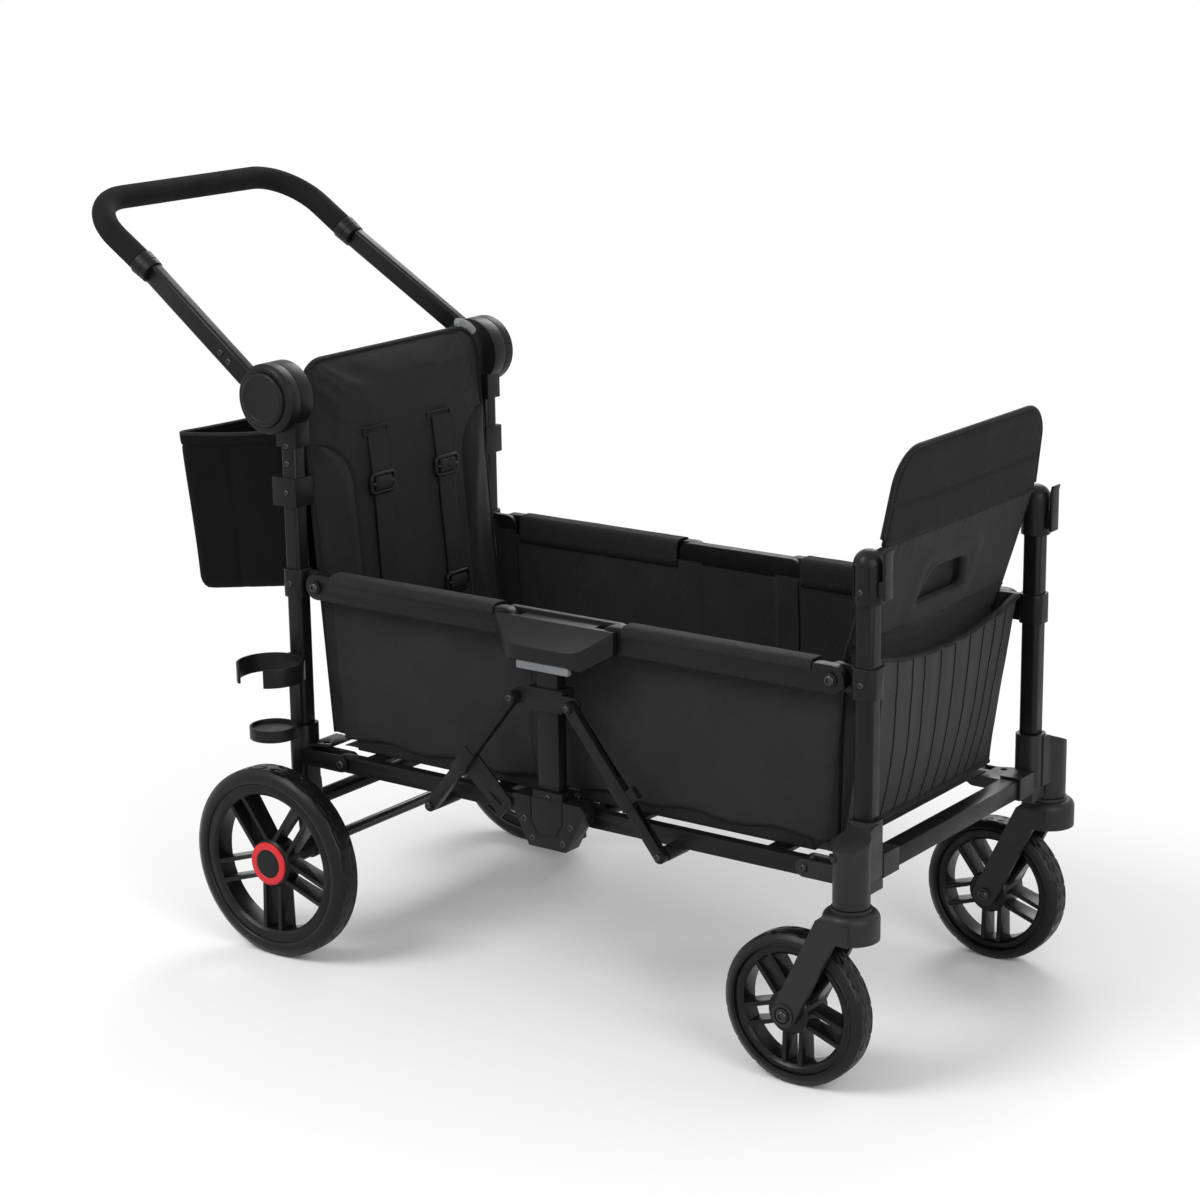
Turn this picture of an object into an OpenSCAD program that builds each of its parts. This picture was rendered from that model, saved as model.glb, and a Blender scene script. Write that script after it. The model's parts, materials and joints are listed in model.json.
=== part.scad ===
// Folding stroller wagon: two wheeled end frames, a centre frame between them and soft sides.
// X points to the front with the swivel wheels, Y to the left, Z up, in millimetres.

/* [Frame] */
// distance from the fold centre to the post axes
post_reach = 460; // [440:1:480]
// distance from the middle plane to the post axes
post_y = 214; // [205:0.5:225]
// outer size of the square post tube
post_size = 26; // [24:1:26]
// corner radius of the post tube
post_corner = 7; // [4:0.5:9]
// wall of the post tube
post_wall = 2.5; // [1.5:0.5:4]
// height of the top rail axis
top_z = 523; // [510:1:535]
// height of the top rails
top_h = 36; // [30:1:38]
// height of the lower rail axis
low_z = 274; // [270:1:280]
// height of the lower rails
low_h = 24; // [20:1:26]
// thickness of all rails
rail_t = 15.4; // [13:0.1:18]
// distance from the fold centre to the inner pivot of a top rail
pivot_in = 86; // [80:1:95]
// distance from the post axis to the top rail pivot
top_set = 44; // [40:1:50]
// distance from the post axis to the lower rail pivot
low_set = 80; // [74:1:86]
// radius of the rail pivot pins
pin_r = 5; // [4:0.1:6]

/* [Wheels] */
// outer radius of the rear tyres
rear_r = 137; // [125:1:140]
// width of the rear tyres
rear_w = 42; // [36:1:42]
// distance outward from the post axis to the rear wheel middle
rear_set = 79; // [79:0.5:90]
// distance of the rear axle in front of the post axis
axle_set = 10; // [0:1:18]
// radius of the rear axle
axle_r = 8; // [6:0.5:10]
// outer radius of the front tyres
front_r = 101; // [92:1:103]
// width of the front tyres
front_w = 40; // [34:1:42]
// distance of the swivel axis in front of the post axis
swivel_set = 6; // [2:1:12]
// distance outward from the post axis to the swivel axis
swivel_out = 44; // [42:0.5:48]
// distance of the front axle behind the swivel axis
trail = 76; // [70:1:82]
// radius of the fork crown
crown_r = 36; // [35:0.5:38]

/* [Handle] */
// distance of the handle pivot behind the post axis
hub_set = 18; // [12:1:24]
// height of the handle pivot
hub_z = 783; // [770:1:800]
// radius of the pivot discs
hub_r = 49; // [46:0.5:52]
// angle of the handle above the horizontal
handle_tilt = 33.8; // [25:0.1:45]
// distance from the pivot to the middle of the grip bar
handle_reach = 437; // [400:1:460]
// distance outward from the post axis to the grip sides
grip_set = 3; // [1:0.5:6]
// radius of the grip
grip_r = 17; // [14:0.5:18]
// bend radius of the grip corners
grip_bend = 80; // [60:1:100]

/* [Soft goods] */
// gap between the end panels and the side walls
panel_gap = 4.5; // [3:0.5:10]
// height of the top of the rear seat back
back_top = 826; // [800:1:840]
// thickness of the rear seat back
back_t = 24; // [18:1:26]
// height of the lower edge of the soft walls
tub_z = 302; // [300:1:308]
// height of the hinge line of the head panel
head_z = 690; // [680:1:700]
// height of the head panel
head_h = 116; // [100:1:130]
// depth of the storage bag along the wagon
bag_depth = 204; // [150:1:220]

/* [Cup holder] */
// inner radius of the cup band
cup_r = 44; // [40:0.5:45]
// height of the cup seat above the foot of its arm
cup_rise = 11.7; // [10:0.1:16]

/* [Hidden] */
$fn = 48;
gap = 0.3;
run = 0.05;
touch = 0.1;
lap = 1;
pin_gap = 0.35;
spin_fn = 72;

// places of the wheels, the handle pivot and the posts
axle_x = axle_set - post_reach;
axle_z = rear_r;
rear_y = post_y + rear_set;
swivel_x = post_reach + swivel_set;
swivel_y = post_y + swivel_out;
front_x = swivel_x - trail;
hub_x = -post_reach - hub_set;
grip_half = post_y + grip_set;

// outline of the whole wagon along X, used to centre it over the origin
x_back = hub_x - handle_reach * cos(handle_tilt) - grip_r;
x_front = swivel_x + crown_r;
origin_x = -(x_back + x_front) / 2;

// layers of the folding joints, counted outward from the middle plane
plate_inset = 11;
plate_t = 9;
cheek_gap = 0.6;
cheek_t = 3;
column_gap = 2.7;
column_t = 18;
face_set = 6;
link_gap = 1;
link_t = 12;
rivet_t = 3;
latch_set = 14;
plate_y0 = post_y - plate_inset;
plate_y1 = plate_y0 + plate_t;
rail_y0 = plate_y1 + gap;
rail_y1 = rail_y0 + rail_t;
cheek_y0 = rail_y1 + cheek_gap;
cheek_y1 = cheek_y0 + cheek_t;
column_y0 = cheek_y1 + column_gap;
column_y1 = column_y0 + column_t;
face_y = column_y1 + face_set;
link_y0 = face_y + link_gap;
link_y1 = link_y0 + link_t;
head_y = link_y1 + rivet_t;
latch_y = column_y1 + latch_set;

// pivots of the four rails, which all have one length
top_x = post_reach - top_set;
top_in = pivot_in;
rail_len = top_x - top_in;
low_x = post_reach - low_set;
low_in = low_x - rail_len;
top_r = top_h / 2;
low_r = low_h / 2;
bolt_r = 9;

// posts and the sleeves on them
post_half = post_size / 2;
sleeve_wall = 4;
sleeve_h = 40;
post_foot = low_z + 26;
rear_post_top = hub_z - 42;
front_post_top = head_z - 27;

// rear corner with its gusset and axle leg
corner_wall = 5;
corner_z0 = low_z - 38;
corner_z1 = low_z + 44;
gusset_z = low_z + 15;
gusset_t = 3;
gusset_len = 50;
gusset_nose = 14;
gusset_in = 48;
gusset_hole = 5;
leg_r = 16;
leg_inset = 14;
leg_t = 24;
leg_y0 = post_y - leg_inset;
leg_y1 = leg_y0 + leg_t;
boss_r = 14;
boss_gap = 4;
boss_end = rear_y - rear_w / 2 - boss_gap;
tube_r = 11;
tube_wall = 2;
tube_set = 4;
cross_tube_z = axle_z + 66;

// wheel proportions
rim_part = 0.84;
window_part = 0.72;
rim_inset = 3;
rim_lip = 4;
rear_hub_r = 34;
front_hub_r = 29;
rear_hub_w = rear_w - 10;
front_hub_w = front_w + 12;
hub_edge = 3;
spoke_root = 0.6;
spoke_sink = 2;
spoke_count = 5;
spoke_t = 6;
spoke_hub_w = 24;
spoke_rim_w = 30;
rear_spread = 14;
front_spread = 12;
ring_r = 31;
ring_in = 20;
ring_t = 4;
ring_edge = 1.4;
cap_skin = 3;
axle_half = rear_y + rear_hub_w / 2 - cap_skin;
shoulder = 11;
tread_drop = 1;
tread_half = 6;
bead_cut = 3;

// front swivel, fork and casting
fork_t = 9;
fork_gap = 7;
crown_h = 37;
crown_round = 10;
fork_z0 = 2 * front_r + fork_gap;
fork_z1 = fork_z0 + crown_h;
fork_boss_r = 17;
fork_ring_r = 15;
fork_ring_in = 11;
fork_ring_t = 2.5;
fork_lean = 32;
fork_back = 30;
fork_front = 16;
fork_throat = 4;
fork_heel = 8;
front_pin_r = 5;
bolt_h = 3;
stem_r = 23.5;
neck_r = 25.5;
stem_gap = 5;
stem_z0 = fork_z1 + stem_gap;
fork_pin_r = 10;
fork_pin_top = stem_z0 + 47;
fork_bore_top = fork_pin_top + 3;
casting_z0 = low_z + 2;
casting_z1 = low_z + 75;
hood_in = low_z + 72;
hood_out = low_z + 50;
web_back = 20;
web_front = 14;
foot_half = 14;
foot_drop = 18;
lock_z = low_z + 36;
lock_size = [4, 16, 7];
crossbar_z = low_z + 11;
crossbar_size = 25;
crossbar_wall = 2;
socket_wall = 3;
socket_len = 38;

// front post caps and their hook plates
cap_z0 = head_z - 66;
cap_wall_z = head_z - 19;
cap_r = 19.5;
cap_slot = 3;
cap_slot_deep = 1.6;
clip_half = 10;
clip_z0 = head_z - 60;
clip_z1 = head_z + 2;
clip_foot = 20;
clip_reach = 9;
clip_t = 4;

// centre column, its brackets and the sliding block
column_half = 17;
column_wall = 3;
column_z0 = low_z + 18;
column_z1 = top_z - 33;
bracket_z0 = low_z - 42;
bracket_z1 = low_z + 26;
bracket_half = low_in + 12;
bracket_low_half = 30;
bracket_cut = 8;
bracket_web = 20;
bracket_pad = 2;
collar_half = 24;
collar_z1 = low_z + 36;
groove_half = 27;
groove_low_half = 16;
groove_low_z = low_z - 25;
groove_z = low_z - 6;
groove_w = 2.5;
groove_deep = 1.2;
latch_half = pivot_in + 9;
latch_flat = 52;
latch_side = 8;
latch_round = [[0.72, 0], [0.97, 0.05], [1.16, 0.18], [1.36, 0.4]];
latch_h = 52;
latch_z1 = top_z + 13;
latch_z0 = latch_z1 - latch_h;
latch_fall = 29;
latch_lip = 5;
latch_rise = 34;
web_half = pivot_in - 26;
latch_bar_half = 42;
latch_bar_drop = 9;
latch_bar_z0 = latch_z0 - latch_bar_drop;
latch_bar_h = 12;
latch_lift = 9;
latch_pocket_z = latch_bar_z0 + latch_bar_h + latch_lift;
latch_wall = 3;
latch_rail_gap = 2;
center_tube_z = low_z - 24;
tube_plate = 13;
slider_z = top_z - 87;
slider_half_h = 15;
slider_half_w = 28;
slider_back = 4;
slide_run = 0.08;
ear_gap = 1;
stud_r = 10;
stud_rise = 2;

// braces from the sliding block to the lower rails
link_top_x = 46;
link_low_x = 188;
link_low_z = low_z - 14;
link_r = 8;
link_pin_r = 4;
link_dx = link_low_x - link_top_x;
link_dz = slider_z - link_low_z;
link_len = sqrt(link_dx * link_dx + link_dz * link_dz);
link_slope = atan2(link_dz, link_dx);
hook_s0 = 111;
hook_s1 = 151;
hook_len = 84;
hook_t = 3;
hook_skew = 9;
hook_tip = 3;
sleeve_part = [0.5, 0.68];
knob_part = [0.58, 0.66];
sleeve_grow = 2;
knob_h = 14;

// handle parts
disc_t = 25;
cover_gap = 0.5;
cover_t = 21.5;
disc_y0 = post_y - plate_inset;
disc_y1 = disc_y0 + disc_t;
cover_y0 = disc_y1 + cover_gap;
cover_y1 = cover_y0 + cover_t;
cover_edge = 5;
button_rim = 11.5;
button_r = hub_r - button_rim;
button_t = 9.5;
button_sink = 4.5;
button_edge = 2.5;
button_dish = 0.8;
button_y0 = cover_y1 - button_sink;
button_pocket = button_y0 - button_sink;
hub_pin_r = 8;
hub_pin_end = cover_y0 + 7.5;
neck_half = 18;
neck_in = 4;
neck_z0 = hub_z - 68;
neck_z1 = hub_z - 30;
arm_y = cover_y0 + 11.5;
arm_t = 18;
arm_h = 30;
arm_corner = 5;
arm_start = 20;
foam_straight = 55;
collar_len = 27;
collar_s1 = handle_reach - grip_bend - foam_straight;
collar_s0 = collar_s1 - collar_len;
collar_gap = 0.7;
foam_gap = 0.9;
collar_r = grip_r + 2;
collar_small = grip_r + 0.5;
foam_fn = 24;
arm_lean = asin((arm_y - grip_half) / collar_s0);

// floor boards and slats
slat_t = 6;
slat_z1 = low_z + low_r;
slat_half_w = 15;
slat_places = [low_in + 60, low_x - 50];
board_z0 = slat_z1 + touch;
board_t = 7;
board_half = plate_y0 - 6;
board_in = 8;
board_out = low_x - 4;

// soft side walls and hems
wall_t = 3;
side_y0 = plate_y0 - 4.5;
side_y1 = side_y0 + wall_t;
hem_z0 = top_z - top_r;
hem_z1 = top_z + top_r + wall_t + gap;
hem_out = 28;
hem_in = 18;
side_top = hem_z0 - gap;
side_back = [post_reach - 62, post_reach - 48];
side_front = [post_reach - 63, post_reach - 43];
side_split = 2;
scallops = 3;
scallop_steps = 8;
scallop_h = 7;
panel_half = side_y0 - panel_gap;

// seat back with its bolsters and the shoulder straps
back_foot_x = 56 - post_reach;
back_lean = 44;
back_corner = 45;
back_edge = 9;
back_crown = 5;
bolster_y = 122;
bolster_z = 640;
bolster_rise = 72;
bolster_h = 7;
seam_w = 7;
back_cols = 28;
back_rows = 28;
row_bias = 1.4;
strap_t = 3;
strap_y0 = 51;
strap_y1 = 89;
strap_z0 = tub_z + 78;
strap_z1 = back_top - 114;

// front end wall, mesh pocket and head panel
front_foot_x = post_reach - 55;
front_knee_z = top_z - 3;
front_knee_x = post_reach - 52;
head_x = post_reach + 5;
head_gap = 2;
front_t = 6;
head_t = 8;
bead_r = 4.5;
head_lean = 19;
head_taper = 12;
head_corner = 26;
head_turn = 8;
arc_steps = 6;
slot_half = 66;
slot_top_half = 46;
slot_drop = 58;
slot_h = 50;
slot_z1 = head_z - slot_drop;
slot_z0 = slot_z1 - slot_h;
slot_reach = 40;
pocket_out = 36;
pocket_top = top_z + 21;
pocket_sag = 26;
pocket_foot = 4;
pocket_rise = 8;
pocket_half = panel_half - 10;
sag_steps = 12;

// storage bag and its clamps
bag_half = post_y - 19;
bag_front = -post_reach - 26;
bag_x = bag_front - bag_depth;
bag_taper = 46;
bag_wall = 6;
bag_drop = 52;
bag_fall = 27;
bag_front_h = 225;
bag_back_h = 228;
bag_top_front = hub_z - bag_drop;
bag_top_back = bag_top_front - bag_fall;
bag_low_front = bag_top_front - bag_front_h;
bag_low_back = bag_top_back - bag_back_h;
clamp_drop = 99;
clamp_h = 40;
clamp_z0 = bag_top_front - clamp_drop;
clamp_z1 = clamp_z0 + clamp_h;
clamp_plate = 38;
clamp_slot = 6;
clamp_slot_w = 12;

// cup holder
cup_wall = 3.5;
spine_t = 4;
spine_half = 10;
spine_lap = 0.5;
cup_x = -post_reach;
cup_y = -(post_y + post_half + touch + spine_t + cup_r + cup_wall - spine_lap);
cup_clear = 10;
cup_base = max(corner_z1 + gap, 2 * rear_r + cup_clear);
cup_z = cup_base + cup_rise;
band_rise = 66;
band_z = cup_z + band_rise;
band_h = 26;
band_open = 29;
dish_r = 33;
dish_h = 17;
dish_wall = 3;
dish_floor = 4;
cup_arm_t = 6;

// shared helpers
module both_sides() {
    children();
    mirror([0, 1, 0]) children();
}

module to_front() {
    mirror([1, 0, 0]) children();
}

module on_side(side) {
    if (side > 0) children();
    else mirror([0, 1, 0]) children();
}

module block(x0, x1, y0, y1, z0, z1) {
    translate([x0, y0, z0]) cube([x1 - x0, y1 - y0, z1 - z0]);
}

module pin_along_y(x, z, r, y0, y1) {
    translate([x, y1, z]) rotate([90, 0, 0]) cylinder(r = r, h = y1 - y0);
}

// a flat outline drawn in X and Z and given a thickness along Y
module plate_along_y(y0, y1) {
    translate([0, y1, 0]) rotate([90, 0, 0]) linear_extrude(y1 - y0) children();
}

// a flat outline drawn in Y and Z and given a thickness along X
module plate_along_x(x0, x1) {
    translate([x0, 0, 0]) rotate([90, 0, 90]) linear_extrude(x1 - x0) children();
}

// a profile of radius and depth turned about an axis along Y, with its depth counted outward
module turned_y(x, y, z) {
    translate([x, y, z]) rotate([-90, 0, 0]) rotate_extrude() children();
}

module round_bar(x0, x1, z, r, y0, y1) {
    block(x0, x1, y0, y1, z - r, z + r);
    pin_along_y(x0, z, r, y0, y1);
    pin_along_y(x1, z, r, y0, y1);
}

module rounded_rect(half_a, half_b, corner) {
    square([2 * half_a, 2 * (half_b - corner)], center = true);
    square([2 * (half_a - corner), 2 * half_b], center = true);
    for (sa = [-1, 1], sb = [-1, 1])
        translate([sa * (half_a - corner), sb * (half_b - corner)]) circle(corner);
}

module post_bar(x, z0, z1, grow) {
    half = post_half + grow;
    translate([x, post_y, z0]) linear_extrude(z1 - z0)
        rounded_rect(half, half, post_corner + grow);
}

module post_tube(x, z0, z1) {
    difference() {
        post_bar(x, z0, z1, 0);
        post_bar(x, z0 - lap, z1 + lap, -post_wall);
    }
}

// handle parts are drawn level and turned about the pivot
module on_handle() {
    translate([hub_x, 0, hub_z]) rotate([0, handle_tilt, 0]) children();
}

function arc(center, r, from, to) = [for (i = [0 : arc_steps])
    let (a = from + (to - from) * i / arc_steps) center + r * [cos(a), sin(a)]];

// rear frame
module rear_posts() {
    color("#18191b") both_sides() post_tube(-post_reach, post_foot, rear_post_top);
}

// inner plate and outer cheek that hold the end of a lower rail, joined to the post by its sleeve
module corner_channel() {
    block(-post_reach + post_half + touch, -low_x, plate_y0, plate_y1, low_z - low_r, low_z + low_r);
    pin_along_y(-low_x, low_z, low_r, plate_y0, plate_y1);
    block(-post_reach, -low_x, cheek_y0, cheek_y1, low_z - low_r, low_z + low_r);
    pin_along_y(-low_x, low_z, low_r, cheek_y0, cheek_y1);
    pin_along_y(-low_x, low_z, pin_r, plate_y1 - lap, cheek_y0 + lap);
}

module gusset() {
    edge = -post_reach + post_half + corner_wall - lap;
    translate([0, 0, gusset_z]) linear_extrude(gusset_t) difference() {
        polygon([[edge, post_y - gusset_in], [-post_reach + gusset_len, post_y - gusset_in],
            [-post_reach + gusset_len, leg_y0 + gusset_nose], [edge, post_y + post_half]]);
        translate([-post_reach + gusset_len - gusset_nose,
            leg_y0 + gusset_nose / 2 + lap]) circle(gusset_hole);
    }
}

module rear_leg() {
    difference() {
        union() {
            plate_along_y(leg_y0, leg_y1) polygon([[-post_reach - leg_r, corner_z0 + lap],
                [-post_reach + leg_r, corner_z0 + lap], [axle_x + leg_r, axle_z], [axle_x - leg_r,
                    axle_z]]);
            pin_along_y(axle_x, axle_z, leg_r, leg_y0, leg_y1);
            pin_along_y(axle_x, axle_z, boss_r, leg_y1 - lap, boss_end);
        }
        pin_along_y(axle_x, axle_z, axle_r + run, leg_y0 - lap, boss_end + lap);
    }
}

module rear_corner() {
    difference() {
        post_bar(-post_reach, corner_z0, corner_z1, corner_wall);
        post_bar(-post_reach, post_foot - touch, corner_z1 + lap, touch);
    }
    corner_channel();
    gusset();
    rear_leg();
}

module rear_corners() {
    color("#1b1c1e") both_sides() rear_corner();
}

module rear_axle() {
    color("#2a2b2d") pin_along_y(axle_x, axle_z, axle_r, -axle_half, axle_half);
}

module cross_tube(x, z, half) {
    difference() {
        pin_along_y(x, z, tube_r, touch - half, half - touch);
        pin_along_y(x, z, tube_r - tube_wall, -half, half);
    }
}

module rear_cross_tube() {
    color("#18191b") cross_tube(axle_x - tube_set, cross_tube_z, leg_y0);
}

module rail_bracket() {
    difference() {
        post_bar(-post_reach, top_z - sleeve_h / 2, top_z + sleeve_h / 2, sleeve_wall);
        post_bar(-post_reach, top_z - sleeve_h, top_z + sleeve_h, touch);
    }
    block(-post_reach + post_half + touch, -top_x, plate_y0, plate_y1, top_z - top_r, top_z + top_r);
    pin_along_y(-top_x, top_z, top_r, plate_y0, plate_y1);
    pin_along_y(-top_x, top_z, pin_r, plate_y1 - lap, cheek_y0 + lap);
    pin_along_y(-top_x, top_z, bolt_r, cheek_y0 - touch, cheek_y1);
}

module rear_rail_brackets() {
    color("#1d1e20") both_sides() rail_bracket();
}

module hub_base() {
    difference() {
        union() {
            pin_along_y(hub_x, hub_z, hub_r, disc_y0, disc_y1);
            block(-post_reach - neck_half, -post_reach + neck_half, disc_y0 - neck_in, disc_y1,
                neck_z0, neck_z1);
        }
        post_bar(-post_reach, neck_z0 - lap, rear_post_top + touch, touch);
    }
    pin_along_y(hub_x, hub_z, hub_pin_r, disc_y1 - lap, hub_pin_end);
}

module hub_bases() {
    color("#1b1c1e") both_sides() hub_base();
}

// half collar on the post with a slotted plate that the bag hangs on
module bag_clamp() {
    sleeve_half = post_half + sleeve_wall;
    plate_in = post_y - clamp_plate;
    difference() {
        union() {
            block(-post_reach - sleeve_half, -post_reach + sleeve_half, panel_half + gap,
                post_y + sleeve_half, clamp_z0, clamp_z1);
            block(bag_front + touch, -post_reach - sleeve_half + lap, plate_in, post_y + sleeve_half,
                clamp_z0, clamp_z1);
        }
        post_bar(-post_reach, clamp_z0 - lap, clamp_z1 + lap, touch);
        block(bag_front, -post_reach - sleeve_half, plate_in + clamp_slot,
            plate_in + clamp_slot + clamp_slot_w,
            clamp_z0 + clamp_slot, clamp_z1 - clamp_slot);
    }
}

module bag_clamps() {
    color("#1d1e20") both_sides() bag_clamp();
}

module bag_outline(inset) {
    polygon([[bag_front - inset, bag_low_front + inset], [bag_front - inset, bag_top_front + inset],
        [bag_x + inset, bag_top_back + inset], [bag_x + bag_taper + inset, bag_low_back + inset]]);
}

module storage_bag() {
    color("#202123") difference() {
        plate_along_y(-bag_half, bag_half) bag_outline(0);
        plate_along_y(bag_wall - bag_half, bag_half - bag_wall) bag_outline(bag_wall);
    }
}

// band that is open towards the outside
module cup_band() {
    reach = 2 * cup_r;
    translate([cup_x, cup_y, band_z]) difference() {
        cylinder(r = cup_r + cup_wall, h = band_h);
        translate([0, 0, -lap]) cylinder(r = cup_r, h = band_h + 2 * lap);
        translate([0, 0, -lap]) linear_extrude(band_h + 2 * lap) polygon([[0, 0],
            [-sin(band_open) * reach, -cos(band_open) * reach], [sin(band_open) * reach,
                -cos(band_open) * reach]]);
    }
}

module cup_holder() {
    post_face = -post_y - post_half - touch;
    color("#17181a") {
        cup_band();
        block(cup_x - spine_half, cup_x + spine_half, post_face - spine_t, post_face, cup_base,
            band_z + band_h);
        difference() {
            union() {
                translate([cup_x, cup_y, cup_z - dish_h]) cylinder(r = dish_r, h = dish_h);
                block(cup_x - spine_half, cup_x + spine_half, cup_y, post_face - spine_t / 2, cup_base,
                    cup_base + cup_arm_t);
            }
            translate([cup_x, cup_y, cup_z - dish_floor]) cylinder(r = dish_r - dish_wall, h = dish_h);
        }
    }
}

// the seat back is a padded panel with a crown, drawn-in edges and a bolster on each side
function back_face(z) = back_foot_x - back_lean * (z - tub_z) / (back_top - tub_z);
function quarter(t) = 1 - sqrt(max(0, 1 - t * t));
function back_half(z) = z < back_top - back_corner ? panel_half
    : panel_half - back_corner * quarter((z - back_top + back_corner) / back_corner);
function bolster_on(z) = z < bolster_z + bolster_rise ? 1 : 0;
function seam_y(z) = z < bolster_z ? bolster_y
    : bolster_y + (panel_half - bolster_y) * quarter((z - bolster_z) / bolster_rise);
function bolster(d) = d > 0 ? bolster_h * sin(180 * min(1, d / (panel_half - bolster_y))) : 0;
function seam(d) = back_crown * exp(-pow(d / seam_w, 2));

// outline factors, 1 over the middle of the panel and 0 at its edge
function edge_fall(u, v) = (1 - pow(u, 8)) * (1 - pow(2 * v - 1, 12));
function swell(u, d, z) = back_crown * (1 - u * u) + bolster_on(z) * (bolster(d) - seam(d));

function back_row(j) = 1 - pow(1 - j / back_rows, row_bias);
function front_point(i, j) =
    let (u = 2 * i / back_cols - 1, v = back_row(j), z = tub_z + (back_top - tub_z) * v)
    let (y = u * back_half(z), rise = back_edge + swell(u, abs(y) - seam_y(z), z))
    [back_face(z) - back_edge - back_crown + rise * edge_fall(u, v), y, z];

back_border = concat([for (i = [0 : back_cols]) [i, 0]], [for (j = [1 : back_rows]) [back_cols, j]],
    [for (i = [back_cols - 1 : -1 : 0]) [i, back_rows]], [for (j = [back_rows - 1 : -1 : 1]) [0, j]]);
function at_back(p) = [back_face(p[2]) - back_t, p[1], p[2]];

module rear_seat_back() {
    across = back_cols + 1;
    front_count = across * (back_rows + 1);
    ring = len(back_border);
    rim_points = [for (b = back_border) at_back(front_point(b[0], b[1]))];
    middle = at_back([0, 0, (tub_z + back_top) / 2]);
    points = concat([for (j = [0 : back_rows], i = [0 : back_cols]) front_point(i, j)], rim_points,
        [middle]);
    front = [for (j = [0 : back_rows - 1], i = [0 : back_cols - 1], k = [0, 1])
        let (a = j * across + i, b = a + 1, c = a + across, d = c + 1) k == 0 ? [a, c, d] : [a, d, b]];
    sides = [for (n = [0 : ring - 1], k = [0, 1])
        let (m = (n + 1) % ring, a = back_border[n][1] * across + back_border[n][0],
            b = back_border[m][1] * across + back_border[m][0], c = front_count + n,
                d = front_count + m)
        k == 0 ? [a, b, d] : [a, d, c]];
    back = [for (n = [0 : ring - 1]) [front_count + n, front_count + (n + 1) % ring,
        front_count + ring]];
    color("#232427") polyhedron(points, concat(front, sides, back));
}

module harness_straps() {
    color("#141416") both_sides() plate_along_y(strap_y0, strap_y1)
        polygon([[back_face(strap_z0) + gap, strap_z0], [back_face(strap_z1) + gap, strap_z1],
            [back_face(strap_z1) + gap + strap_t, strap_z1], [back_face(strap_z0) + gap + strap_t,
                strap_z0]]);
}

// handle
module handle_arm() {
    difference() {
        on_handle() translate([0, arm_y, 0]) rotate([0, 0, arm_lean]) translate([-arm_start, 0, 0])
            rotate([0, -90, 0]) linear_extrude(collar_s0 - arm_start)
            rounded_rect(arm_h / 2, arm_t / 2, arm_corner);
        pin_along_y(hub_x, hub_z, hub_r + touch, disc_y0, cover_y1 + disc_t);
    }
}

module handle_arms() {
    color("#18191b") both_sides() handle_arm();
}

module grip_collars() {
    color("#202123") both_sides() on_handle() translate([-collar_s0 - collar_gap, grip_half, 0])
        rotate([0, -90, 0]) cylinder(r1 = collar_small, r2 = collar_r, h = collar_len);
}

module grip_foam() {
    bend_s = handle_reach - grip_bend;
    bend_y = grip_half - grip_bend;
    color("#26272a") on_handle() {
        both_sides() translate([-collar_s1 - foam_gap, grip_half, 0]) rotate([0, -90, 0])
            cylinder(r = grip_r, h = bend_s - collar_s1 - foam_gap, $fn = foam_fn);
        both_sides() translate([-bend_s, bend_y, 0]) rotate([0, 0, 90])
            rotate_extrude(angle = 90) translate([grip_bend, 0]) circle(grip_r, $fn = foam_fn);
        translate([-handle_reach, bend_y, 0]) rotate([90, 0, 0])
            cylinder(r = grip_r, h = 2 * bend_y, $fn = foam_fn);
    }
}

module hub_cover() {
    difference() {
        turned_y(hub_x, cover_y0, hub_z) polygon([[0, 0], [hub_r, 0], [hub_r, cover_t - cover_edge],
            [hub_r - cover_edge, cover_t], [0, cover_t]]);
        pin_along_y(hub_x, hub_z, hub_pin_r + run, cover_y0 - lap, hub_pin_end + lap);
        pin_along_y(hub_x, hub_z, button_r + run, button_pocket, cover_y1 + lap);
    }
}

module hub_covers() {
    color("#1b1c1e") both_sides() hub_cover();
}

module pivot_button(side) {
    face_r = button_r - 3 * button_edge;
    color("#2b2c2f") on_side(side) turned_y(hub_x, button_y0, hub_z) polygon([[0, 0], [button_r, 0],
        [button_r, button_t - button_edge], [button_r - button_edge, button_t], [face_r, button_t],
        [face_r - button_dish, button_t - button_dish], [0, button_t - button_dish]]);
}

// wheels
module tyre(r, w) {
    inner = r * rim_part;
    side = w / 2;
    half = concat([[inner, side - bead_cut], [inner + bead_cut, side]],
        arc([r - tread_drop - shoulder, side - shoulder], shoulder, 90, 0), [[r, tread_half]]);
    rotate([90, 0, 0]) rotate_extrude($fn = spin_fn)
        polygon(concat(half, [for (i = [len(half) - 1 : -1 : 0]) [half[i][0], -half[i][1]]]));
}

// one blade of a spoke pair, deeper at the rim than at the hub
module spoke_blade(from, to) {
    rotate([90, 0, 0]) linear_extrude(spoke_t, center = true) polygon([[from, -spoke_hub_w / 2],
        [to, -spoke_rim_w / 2], [to, spoke_rim_w / 2], [from, spoke_hub_w / 2]]);
}

module rim_ring(r, w) {
    outer = rim_part * r - touch;
    inner = window_part * r;
    half = w / 2 - rim_inset;
    rotate_extrude($fn = spin_fn) polygon([[inner, rim_lip - half], [inner + rim_lip, -half], [outer,
        -half],
        [outer, half], [inner + rim_lip, half], [inner, half - rim_lip]]);
}

module wheel_hub(r, w) {
    rotate_extrude() polygon([[0, -w / 2], [r - hub_edge, -w / 2], [r, hub_edge - w / 2], [r,
        w / 2 - hub_edge],
        [r - hub_edge, w / 2], [0, w / 2]]);
}

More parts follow.
